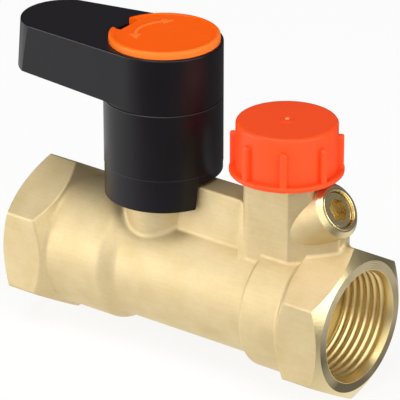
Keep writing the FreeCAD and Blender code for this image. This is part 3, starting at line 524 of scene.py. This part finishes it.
def moulded_plastic_material(name, colour, gloss, grain, depth, sheen, seam=None, rim=None):
    """Moulded plastic: one colour through, a spark-eroded grain and an uneven gloss.

    Grain and depth are in millimetres. The seam argument is the colour of a painted highlight on
    the mould lines, with painted shade in a black groove over each, and the rim argument is the
    axis, radius and colour of a painted highlight along the edge.
    """
    material, tree = new_material(name)
    place = add_node(tree, "ShaderNodeTexCoord").outputs["Object"]
    flow = add_node(tree, "ShaderNodeTexNoise",
                    {"Vector": place, "Scale": 1.0 / FLOW_WIDTH, "Detail": 2.0})
    shade = add_node(tree, "ShaderNodeHueSaturation", {"Color": tuple(colour), "Value": FLOW_SHADE})
    tint = add_node(tree, "ShaderNodeMix",
                    {SHARE: flow.outputs["Fac"], COLOUR_A: shade.outputs["Color"],
                     COLOUR_B: tuple(colour)}, data_type="RGBA")
    if seam:
        # Painted highlight: a light line where the moulds meet, and painted shade: a black groove
        # over it
        height = add_node(tree, "ShaderNodeSeparateXYZ", {"Vector": place}).outputs["Z"]
        lines = ((0.0, SEAM_HALF, tuple(seam)), (GROOVE_RISE, GROOVE_HALF, PAINTED_GROOVE_SHADE))
        for rise, half, line_colour in lines:
            for level in SEAM_HEIGHTS:
                line = add_node(tree, "ShaderNodeMath", {0: height, 1: level + rise, 2: half},
                                operation="COMPARE")
                tint = add_node(tree, "ShaderNodeMix",
                                {SHARE: line.outputs[0], COLOUR_A: tint.outputs[MIXED],
                                 COLOUR_B: line_colour}, data_type="RGBA")
    # Painted highlight: a paler band along the rim, for light caught on its edge
    if rim:
        axis_x, radius, painted_highlight = rim
        flat = add_node(tree, "ShaderNodeVectorMath", {0: place, 1: (1.0, 1.0, 0.0)},
                        operation="MULTIPLY")
        away = add_node(tree, "ShaderNodeVectorMath", {0: flat.outputs[0], 1: (axis_x, 0.0, 0.0)},
                        operation="DISTANCE")
        band = add_node(tree, "ShaderNodeMapRange",
                        {"Value": away.outputs["Value"], "From Min": radius - PAINTED_RIM_BAND,
                         "From Max": radius})
        tint = add_node(tree, "ShaderNodeMix",
                        {SHARE: band.outputs[0], COLOUR_A: tint.outputs[MIXED],
                         COLOUR_B: tuple(painted_highlight)}, data_type="RGBA")
    # The grain is drawn coarser than it is, so that it shows
    texture = add_node(tree, "ShaderNodeTexNoise",
                       {"Vector": place, "Scale": 1.0 / (grain * MM), "Detail": 2.0})
    rough = add_node(tree, "ShaderNodeMapRange",
                     {"Value": flow.outputs["Fac"], "To Min": gloss - GLOSS_SPREAD,
                      "To Max": gloss + GLOSS_SPREAD})
    bump = add_node(tree, "ShaderNodeBump",
                    {"Height": texture.outputs["Fac"], "Strength": 0.4, "Distance": depth * MM})
    finish_material(tree, {
        "Base Color": tint.outputs[MIXED],
        "Roughness": rough.outputs[0],
        "IOR": 1.5,
        "Specular IOR Level": sheen,
        "Normal": bump.outputs["Normal"],
    })
    return material


def plated_material(name, colour, gloss):
    """Plated metal with a trace of unevenness in the gloss."""
    material, tree = new_material(name)
    place = add_node(tree, "ShaderNodeTexCoord").outputs["Object"]
    cloud = add_node(tree, "ShaderNodeTexNoise", {"Vector": place, "Scale": 1.0 / PLATE_CLOUD})
    rough = add_node(tree, "ShaderNodeMapRange",
                     {"Value": cloud.outputs["Fac"], "To Min": gloss * (1.0 - PLATE_SPREAD),
                      "To Max": gloss * (1.0 + PLATE_SPREAD)})
    finish_material(tree, {
        "Base Color": tuple(colour),
        "Metallic": 1.0,
        "Roughness": rough.outputs[0],
    })
    return material


def deselect():
    """Leave edit mode and clear the selection."""
    if bpy.context.mode != "OBJECT":
        bpy.ops.object.mode_set(mode="OBJECT")
    bpy.ops.object.select_all(action="DESELECT")


def pick(piece):
    """Make a piece the only selected object and the active one."""
    deselect()
    piece.select_set(True)
    bpy.context.view_layer.objects.active = piece


def settle(piece):
    """Bring a piece's place into its mesh."""
    pick(piece)
    bpy.ops.object.transform_apply(location=True, rotation=True, scale=True)
    return piece


def apply_modifier(piece, kind, **settings):
    """Add a modifier, set it up and apply it."""
    pick(piece)
    modifier = piece.modifiers.new(kind.title(), kind)
    for key, value in settings.items():
        setattr(modifier, key, value)
    bpy.ops.object.modifier_apply(modifier=modifier.name)


def select_vertices(piece, wanted):
    """Select a piece's vertices by their place; edit mode is left on."""
    bpy.ops.object.mode_set(mode="EDIT")
    bpy.ops.mesh.select_mode(type="VERT")
    bpy.ops.mesh.select_all(action="DESELECT")
    bpy.ops.object.mode_set(mode="OBJECT")
    for vertex in piece.data.vertices:
        vertex.select = wanted(vertex.co)
    bpy.ops.object.mode_set(mode="EDIT")


def face_outwards():
    """Turn all faces of the piece in edit mode outwards and leave edit mode."""
    bpy.ops.mesh.select_all(action="SELECT")
    bpy.ops.mesh.normals_make_consistent(inside=False)
    deselect()


def profile(name, x, z, width, height):
    """Upright rectangle in the XZ plane, from which a turned piece starts."""
    deselect()
    bpy.ops.mesh.primitive_plane_add(size=1.0, rotation=UPRIGHT, location=(x, 0.0, z))
    piece = bpy.context.active_object
    piece.name = name
    piece.scale = (width, height, 1.0)
    return settle(piece)


def keep_outline():
    """Leave only the outline of the profile in edit mode."""
    bpy.ops.mesh.select_all(action="SELECT")
    bpy.ops.mesh.delete(type="ONLY_FACE")


def turn_outline(steps):
    """Turn the profile in edit mode once about Z into a closed ring."""
    keep_outline()
    bpy.ops.mesh.select_all(action="SELECT")
    bpy.ops.mesh.spin(steps=steps, angle=FULL_TURN, center=ORIGIN, axis=UP)
    bpy.ops.mesh.select_all(action="SELECT")
    bpy.ops.mesh.remove_doubles(threshold=MERGE)
    face_outwards()


def thread_ridge(name, wall, crest, pitch, turns, start, steps):
    """Helical ridge about Z with a rounded crest, standing on a wall of the given radius."""
    outward = crest > wall
    base = wall - SUNK if outward else wall + SUNK
    middle = (base + crest) / 2.0
    ridge = profile(name, middle, start, abs(crest - base), RIDGE_BASE * pitch)
    select_vertices(ridge, lambda spot: (spot.x > middle) == outward)
    bpy.ops.transform.resize(value=(1.0, 1.0, RIDGE_CREST))
    bpy.ops.mesh.bevel(offset=RIDGE_ROUNDING * pitch, segments=5, affect="VERTICES")
    keep_outline()
    apply_modifier(ridge, "SCREW", axis="Z", angle=FULL_TURN, steps=steps, render_steps=steps,
                   screw_offset=pitch, iterations=turns, use_merge_vertices=True)
    bpy.ops.object.mode_set(mode="EDIT")
    bpy.ops.mesh.select_all(action="SELECT")
    bpy.ops.mesh.remove_doubles(threshold=MERGE)
    bpy.ops.mesh.select_all(action="DESELECT")
    bpy.ops.mesh.select_non_manifold()
    bpy.ops.mesh.fill_holes(sides=0)
    face_outwards()
    return ridge


def countersink(wall, crest, depth, steps):
    """Smooth cone about Z at a port's mouth, narrowing from the wall to the thread's crest."""
    outer = wall + SUNK
    middle = (outer + crest) / 2.0
    half = depth / 2.0
    band = profile("countersink", middle, half, outer - crest, depth)
    select_vertices(band, lambda spot: spot.x < middle and spot.z < half)
    bpy.ops.transform.translate(value=(wall - MOUTH_LIP - crest, 0.0, MOUTH_SETBACK))
    select_vertices(band, lambda spot: spot.x > middle and spot.z > half)
    bpy.ops.transform.translate(value=(0.0, 0.0, MOUTH_FOOT * depth))
    select_vertices(band, lambda spot: spot.x < middle - CORNER_SLACK and spot.z > half)
    bpy.ops.mesh.bevel(offset=MOUTH_ROUNDING, segments=3, affect="VERTICES")
    turn_outline(steps)
    return band


def bead(name, radius, width, height):
    """Rounded ring about Z that stands on zero height, sunk as deep as it stands out."""
    ring = profile(name, radius, 0.0, width, height * 2.0)
    select_vertices(ring, lambda spot: spot.z > 0.0)
    bpy.ops.mesh.bevel(offset=min(BEAD_ROUND_HEIGHT * height, BEAD_ROUND_WIDTH * width),
                       segments=4, affect="VERTICES")
    turn_outline(BEAD_STEPS)
    return ring


def trim(piece, cutter, operation):
    """Trim a piece with a cutter and remove the cutter."""
    apply_modifier(piece, "BOOLEAN", object=cutter, operation=operation, solver="EXACT")
    bpy.data.objects.remove(cutter)


def hand_over(piece, material, body):
    """Give a finished piece its shading, its material and its body."""
    pick(piece)
    bpy.ops.object.shade_smooth_by_angle(angle=SMOOTH_EDGE)
    piece.data.materials.clear()
    piece.data.materials.append(material)
    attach(piece, body)


class VALVE_OT_brass(bpy.types.Operator):
    """Finish the forged body and the turned brass pieces"""

    bl_idname = "valve.brass"
    bl_label = "Brass finishes"

    def execute(self, context):
        colours = context.scene.valve_colours
        dress(["valve_body"], forged_brass_material(colours))
        dress(["seat_retainer", "stem", "drain_spindle", "drain_spindle_stop_ring"],
              turned_brass_material("turned_brass", colours.turned_brass, gloss=0.27))
        return {"FINISHED"}


class VALVE_OT_plastics(bpy.types.Operator):
    """Finish the moulded plastic pieces"""

    bl_idname = "valve.plastics"
    bl_label = "Plastic finishes"

    def execute(self, context):
        colours = context.scene.valve_colours
        # Nylon with glass fibre: near black, satin, grey where it mirrors light, with a painted
        # highlight on its fine mould lines and painted shade in a groove over each
        dress(["neck_sleeve", "lever"],
              moulded_plastic_material("glass_filled_black_nylon", colours.black_nylon, gloss=0.34,
                                       grain=0.5, depth=0.02, sheen=0.3, seam=colours.seam))
        # ABS: full bright orange, smooth, paler along the rim as a painted highlight
        dress(["cover_disc"],
              moulded_plastic_material("orange_abs", colours.orange_abs, gloss=0.26, grain=0.6,
                                       depth=0.01, sheen=0.1,
                                       rim=(STEM_X, DISC_HIGH.y, colours.rim_painted_highlight_abs)))
        # Polyethylene: waxy orange-red with a soft, low shine
        dress(["drain_cap"],
              moulded_plastic_material("red_polyethylene", colours.red_polyethylene, gloss=0.38,
                                       grain=0.6, depth=0.015, sheen=0.25))
        # PTFE: milky white, smooth and dull
        dress(["seat_ring_inlet", "seat_ring_outlet", "stem_thrust_washer"],
              moulded_plastic_material("white_ptfe", colours.white_ptfe, gloss=0.45, grain=0.8,
                                       depth=0.01, sheen=0.5))
        # Nitrile rubber: flat dark grey-black
        dress(["stem_o_ring_lower", "stem_o_ring_upper", "drain_spindle_o_ring",
               "drain_spindle_seal", "drain_cap_gasket"],
              moulded_plastic_material("black_nitrile_rubber", colours.black_rubber, gloss=0.6,
                                       grain=0.8, depth=0.01, sheen=0.5))
        return {"FINISHED"}


class VALVE_OT_plated(bpy.types.Operator):
    """Finish the plated ball and the lever screw"""

    bl_idname = "valve.plated"
    bl_label = "Plated finishes"

    def execute(self, context):
        colours = context.scene.valve_colours
        # Chrome plate: a cold grey mirror
        dress(["ball"], plated_material("chrome_plated_brass", colours.chrome, gloss=0.08))
        # Zinc plate: satin light grey, a little cloudy
        dress(["lever_screw", "lever_screw_washer"],
              plated_material("zinc_plated_steel", colours.zinc_steel, gloss=0.3))
        return {"FINISHED"}


class VALVE_OT_port_threads(bpy.types.Operator):
    """Add the pipe threads in both ports"""

    bl_idname = "valve.port_threads"
    bl_label = "Port threads"

    def execute(self, context):
        sizes = context.scene.valve_threads
        # Tapped brass: duller than turned brass, so each turn has a broad soft highlight
        material = turned_brass_material("tapped_brass", context.scene.valve_colours.tapped_brass,
                                         gloss=0.35)
        crest = PORT_RADIUS - sizes.port_height
        turns = math.ceil((PORT_DEPTH - sizes.port_run_out) / sizes.port_pitch)
        depth = sizes.port_lead_in * CUTTER_LENGTH
        slope = sizes.port_height / sizes.port_lead_in
        ports = {"inlet_port_thread": (0.0, math.pi / 2.0),
                 "outlet_port_thread": (LENGTH, -math.pi / 2.0)}
        for name, (mouth, turn) in ports.items():
            ridge = thread_ridge(name, PORT_RADIUS, crest, sizes.port_pitch, turns,
                                 -sizes.port_pitch / 2.0, sizes.steps)
            deselect()
            bpy.ops.mesh.primitive_cone_add(
                vertices=sizes.steps * 2, depth=depth,
                radius1=crest + slope * depth + CUTTER_PLAY, radius2=crest + CUTTER_PLAY,
                location=(0.0, 0.0, sizes.port_lead_in - depth / 2.0))
            trim(ridge, bpy.context.active_object, "DIFFERENCE")
            trim(ridge, countersink(PORT_RADIUS, crest, sizes.port_lead_in, sizes.steps * 2),
                 "UNION")
            ridge.rotation_euler = (0.0, turn, 0.0)
            ridge.location = (mouth, 0.0, 0.0)
            hand_over(settle(ridge), material, "body")
        return {"FINISHED"}


class VALVE_OT_drain_threads(bpy.types.Operator):
    """Add the drain thread outside the nipple and inside the cap"""

    bl_idname = "valve.drain_threads"
    bl_label = "Drain threads"

    def execute(self, context):
        sizes = context.scene.valve_threads
        low = sizes.nipple_base + CAP_PITCH
        turns = int((GASKET_LOW.z - low) / CAP_PITCH)
        nipple = thread_ridge("drain_nipple_thread", sizes.nipple_radius,
                              sizes.nipple_radius + sizes.drain_height, CAP_PITCH, turns, low,
                              sizes.steps)
        cap = thread_ridge("drain_cap_thread", sizes.cap_bore_radius,
                           sizes.cap_bore_radius - sizes.drain_height, CAP_PITCH, turns,
                           low - CAP_PITCH / 2.0, sizes.steps)
        for ridge in (nipple, cap):
            ridge.location = (DRAIN_X, 0.0, 0.0)
            settle(ridge)
        hand_over(nipple, worn_by("seat_retainer"), "body")
        hand_over(cap, worn_by("drain_cap"), "cap")
        return {"FINISHED"}


class VALVE_OT_web_root(bpy.types.Operator):
    """Add the forged roots that lead the stop web into the drain block on both sides"""

    bl_idname = "valve.web_root"
    bl_label = "Web root"

    def execute(self, context):
        sizes = context.scene.valve_root
        middle = Vector((sizes.flare_x + sizes.side_x, -sizes.side_y - sizes.inner_y,
                         sizes.foot_z + sizes.head_z)) / 2.0
        deselect()
        bpy.ops.mesh.primitive_cube_add(size=1.0, location=middle)
        root = bpy.context.active_object
        root.name = "web_root"
        root.scale = (sizes.side_x - sizes.flare_x, sizes.side_y - sizes.inner_y,
                      sizes.head_z - sizes.foot_z)
        settle(root)
        for above, half_width in ((False, sizes.foot_y), (True, sizes.head_y)):
            select_vertices(root, lambda spot: spot.x < middle.x and spot.y < middle.y
                            and (spot.z > middle.z) == above)
            bpy.ops.transform.translate(value=(0.0, sizes.side_y - half_width, 0.0))
            bpy.ops.object.mode_set(mode="OBJECT")
        select_vertices(root, lambda spot: spot.z > middle.z)
        bpy.ops.mesh.bevel(offset=sizes.rounding, segments=3, affect="EDGES")
        apply_modifier(root, "MIRROR", use_axis=(False, True, False), use_mirror_merge=False)
        bpy.ops.object.mode_set(mode="EDIT")
        face_outwards()
        hand_over(root, worn_by("valve_body"), "body")
        return {"FINISHED"}


class VALVE_OT_stop_bead(bpy.types.Operator):
    """Add the rounded bead on the ring that keeps the drain spindle captive"""

    bl_idname = "valve.stop_bead"
    bl_label = "Stop ring bead"

    def execute(self, context):
        sizes = context.scene.valve_bead
        ring = bead("spindle_stop_bead", sizes.radius, sizes.width, sizes.height)
        ring.rotation_euler = SPINDLE_AXIS.to_track_quat("Z", "Y").to_euler()
        ring.location = SPINDLE_AT + SPINDLE_AXIS * sizes.along
        hand_over(settle(ring), worn_by("drain_spindle_stop_ring"), "body")
        return {"FINISHED"}


class VALVE_OT_arrow(bpy.types.Operator):
    """Add the raised turning arrow on the cover disc"""

    bl_idname = "valve.arrow"
    bl_label = "Turning arrow"

    def execute(self, context):
        sizes = context.scene.valve_arrow
        thickness = sizes.height * 2.0
        arrow = profile("cover_disc_arrow", -sizes.radius, 0.0, sizes.width, thickness)
        bpy.ops.object.mode_set(mode="EDIT")
        bpy.ops.mesh.select_all(action="SELECT")
        bpy.ops.transform.rotate(value=-sizes.sweep / 2.0, orient_axis="Z", center_override=ORIGIN)
        bpy.ops.mesh.spin(steps=ARROW_STEPS, angle=sizes.sweep, center=ORIGIN, axis=UP)
        face_outwards()
        for side in (-1.0, 1.0):
            angle = math.pi + side * sizes.sweep / 2.0
            bpy.ops.mesh.primitive_cylinder_add(
                vertices=3, radius=sizes.head, depth=thickness,
                location=Vector((math.cos(angle), math.sin(angle), 0.0)) * sizes.radius,
                rotation=(0.0, 0.0, angle + side * math.pi / 2.0 - math.pi / 2.0))
            trim(arrow, settle(bpy.context.active_object), "UNION")
        apply_modifier(arrow, "BEVEL", width=sizes.rounding, segments=2, limit_method="ANGLE",
                       angle_limit=ARROW_EDGE)
        arrow.location = (STEM_X + sizes.centre_x, sizes.centre_y,
                          DISC_HIGH.z - sizes.field_depth)
        # Painted highlight: paler orange than the disc round it, for light caught on the raised
        # edges, and a little duller
        material = moulded_plastic_material(
            "orange_abs_raised", context.scene.valve_colours.arrow_painted_highlight_abs, gloss=0.4, grain=0.6,
            depth=0.01, sheen=0.3)
        hand_over(settle(arrow), material, "lever")
        return {"FINISHED"}


class VALVE_OT_cap_gate(bpy.types.Operator):
    """Add the gate mark on top of the drain cap: a torn nub and the faint ring round it"""

    bl_idname = "valve.cap_gate"
    bl_label = "Cap gate mark"

    def execute(self, context):
        sizes = context.scene.valve_gate
        top = CAP_HIGH.z
        mark = bead("drain_cap_gate_ring", sizes.ring_radius, sizes.ring_width, sizes.ring_height)
        mark.location = (DRAIN_X, 0.0, top - sizes.gate_height)
        settle(mark)
        bpy.ops.mesh.primitive_cylinder_add(vertices=NUB_STEPS, radius=sizes.nub_radius,
                                            depth=sizes.nub_height * 2.0,
                                            location=(DRAIN_X, 0.0, top))
        nub = settle(bpy.context.active_object)
        nub.name = "drain_cap_gate_nub"
        select_vertices(nub, lambda spot: spot.z > top)
        bpy.ops.transform.resize(value=(NUB_TOP, NUB_TOP, 1.0))
        apply_modifier(nub, "BEVEL", width=sizes.nub_height * NUB_ROUNDING, segments=3,
                       limit_method="ANGLE")
        # Polyethylene of the gate nub: paler than the cap, with a small glint
        torn = moulded_plastic_material(
            "red_polyethylene_gate", context.scene.valve_colours.gate_polyethylene, gloss=0.3,
            grain=0.4, depth=0.02, sheen=0.4)
        hand_over(mark, worn_by("drain_cap"), "cap")
        hand_over(nub, torn, "cap")
        return {"FINISHED"}


class VALVE_OT_studio(bpy.types.Operator):
    """Add the floor, lights, surround and camera"""

    bl_idname = "valve.studio"
    bl_label = "Studio"

    def execute(self, context):
        studio = context.scene.valve_studio
        colours = context.scene.valve_colours
        target = Vector((studio.target_x, 0.0, studio.target_z))
        deselect()
        bpy.ops.mesh.primitive_plane_add(size=studio.floor_size,
                                         location=(target.x, 0.0, CAD_BOX[0].z))
        floor = bpy.context.active_object
        floor.name = "floor"
        floor.data.materials.append(floor_material(colours))
        for name, (direction, distance, size) in LAMPS.items():
            lamp(name + "_light", target, direction, distance, size,
                 getattr(studio, name + "_watts"))
        surround(context.scene, colours)
        camera(context.scene, studio, target)
        return {"FINISHED"}


def floor_material(colours):
    """Paper floor that reads white to the camera and in gloss, with a trace of the shadow."""
    # To the eye: plain matt white without an edge or a shine
    material, tree = new_material("pale_studio_floor")
    place = add_node(tree, "ShaderNodeTexCoord").outputs["Object"]
    weave = add_node(tree, "ShaderNodeTexNoise", {"Vector": place, "Scale": 1.0 / FLOOR_WEAVE})
    rough = add_node(tree, "ShaderNodeMapRange",
                     {"Value": weave.outputs["Fac"], "To Min": 0.8, "To Max": 0.95})
    paper = add_node(tree, "ShaderNodeBsdfPrincipled",
                     {"Base Color": tuple(colours.floor), "Roughness": rough.outputs[0],
                      "Specular IOR Level": 0.1})
    ray = add_node(tree, "ShaderNodeLightPath")

    # In gloss the floor falls off towards the camera, and behind the object on the right, as where
    # light comes from the left
    falls = []
    for direction, near, far in FLOOR_FALLS:
        away = add_node(tree, "ShaderNodeVectorMath", {0: place, 1: direction},
                        operation="DOT_PRODUCT")
        falls.append(add_node(tree, "ShaderNodeMapRange",
                              {"Value": away.outputs["Value"], "From Min": near, "From Max": far,
                               "To Min": 1.0, "To Max": FLOOR_DARK}))
    shade = add_node(tree, "ShaderNodeMath", {0: falls[0].outputs[0], 1: falls[1].outputs[0]},
                     operation="MINIMUM")
    bright = add_node(tree, "ShaderNodeMath",
                      {0: ray.outputs["Is Camera Ray"], 1: shade.outputs[0]}, operation="MAXIMUM")
    white = add_node(tree, "ShaderNodeEmission",
                     {"Color": (1.0, 1.0, 1.0, 1.0), "Strength": bright.outputs[0]})
    seen = ray.outputs["Is Camera Ray"]
    for kind in ("Is Glossy Ray", "Is Transmission Ray"):
        seen = add_node(tree, "ShaderNodeMath", {0: seen, 1: ray.outputs[kind]},
                        operation="MAXIMUM").outputs[0]
    share = add_node(tree, "ShaderNodeMath", {0: seen, 1: FLOOR_WHITE_SHARE},
                     operation="MULTIPLY")
    mixed = add_node(tree, "ShaderNodeMixShader",
                     {0: share.outputs[0], 1: paper.outputs["BSDF"], 2: white.outputs["Emission"]})
    add_node(tree, "ShaderNodeOutputMaterial", {"Surface": mixed.outputs["Shader"]})
    return material


def lamp(name, target, direction, distance, size, watts):
    """Square soft light that faces the target."""
    towards = Vector(direction).normalized()
    bpy.ops.object.light_add(type="AREA", location=target + towards * distance)
    light = bpy.context.active_object
    light.name = name
    light.rotation_euler = towards.to_track_quat("Z", "Y").to_euler()
    light.data.energy = watts
    light.data.size = size


def surround(scene, colours):
    """Grey studio around the object, darker behind it."""
    world = bpy.data.worlds.new("studio")
    scene.world = world
    world.use_nodes = True
    tree = world.node_tree
    tree.nodes.clear()
    towards = add_node(tree, "ShaderNodeTexCoord").outputs["Generated"]
    ahead = add_node(tree, "ShaderNodeVectorMath", {0: towards, 1: BRIGHT_SIDE},
                     operation="DOT_PRODUCT")
    share = add_node(tree, "ShaderNodeMapRange",
                     {"Value": ahead.outputs["Value"], "From Min": -0.7, "From Max": 0.5})
    colour = add_node(tree, "ShaderNodeMix",
                      {SHARE: share.outputs[0], COLOUR_A: tuple(colours.far_surround),
                       COLOUR_B: tuple(colours.surround)}, data_type="RGBA")
    light = add_node(tree, "ShaderNodeBackground",
                     {"Color": colour.outputs[MIXED], "Strength": 1.0})
    add_node(tree, "ShaderNodeOutputWorld", {"Surface": light.outputs["Background"]})
    scene.view_settings.view_transform = "Standard"


def camera(scene, studio, target):
    """Camera at the photograph's viewing angle."""
    flat = math.cos(studio.elevation)
    back = Vector((math.sin(studio.azimuth) * flat, -math.cos(studio.azimuth) * flat,
                   math.sin(studio.elevation)))
    bpy.ops.object.camera_add(location=target + back * studio.distance,
                              rotation=back.to_track_quat("Z", "Y").to_euler())
    view = bpy.context.active_object
    view.data.lens = studio.lens
    view.data.clip_start = 0.01
    view.data.clip_end = studio.floor_size * 4.0
    scene.camera = view


class VALVE_PT_panel(bpy.types.Panel):
    """Lists the steps that dress the valve"""

    bl_idname = "VALVE_PT_panel"
    bl_label = "Isolating valve"
    bl_space_type = "VIEW_3D"
    bl_region_type = "UI"
    bl_category = "Valve"

    def draw(self, context):
        for operator in OPERATORS:
            self.layout.operator(operator.bl_idname)
        for name in GROUPS:
            box = self.layout.box()
            group = getattr(context.scene, name)
            for key in group.bl_rna.properties.keys():
                if key not in ("name", "rna_type"):
                    box.prop(group, key)


OPERATORS = (
    VALVE_OT_brass,
    VALVE_OT_plastics,
    VALVE_OT_plated,
    VALVE_OT_port_threads,
    VALVE_OT_drain_threads,
    VALVE_OT_web_root,
    VALVE_OT_stop_bead,
    VALVE_OT_arrow,
    VALVE_OT_cap_gate,
    VALVE_OT_studio,
)
GROUPS = {
    "valve_threads": ValveThreads,
    "valve_root": ValveRoot,
    "valve_bead": ValveBead,
    "valve_arrow": ValveArrow,
    "valve_gate": ValveGate,
    "valve_colours": ValveColours,
    "valve_studio": ValveStudio,
}


def register():
    """Add the settings, the operators and the panel."""
    for group in GROUPS.values():
        bpy.utils.register_class(group)
    for name, group in GROUPS.items():
        setattr(bpy.types.Scene, name, PointerProperty(type=group))
    for operator in OPERATORS:
        bpy.utils.register_class(operator)
    bpy.utils.register_class(VALVE_PT_panel)


def unregister():
    """Remove the panel, the operators and the settings."""
    bpy.utils.unregister_class(VALVE_PT_panel)
    for operator in reversed(OPERATORS):
        bpy.utils.unregister_class(operator)
    for name in GROUPS:
        delattr(bpy.types.Scene, name)
    for group in reversed(GROUPS.values()):
        bpy.utils.unregister_class(group)


def main():
    """Dress the valve and set up the studio."""
    register()
    bpy.ops.valve.brass()
    bpy.ops.valve.plastics()
    bpy.ops.valve.plated()
    bpy.ops.valve.port_threads()
    bpy.ops.valve.drain_threads()
    bpy.ops.valve.web_root()
    bpy.ops.valve.stop_bead()
    bpy.ops.valve.arrow()
    bpy.ops.valve.cap_gate()
    bpy.ops.valve.studio()


if __name__ == "__main__":
    main()
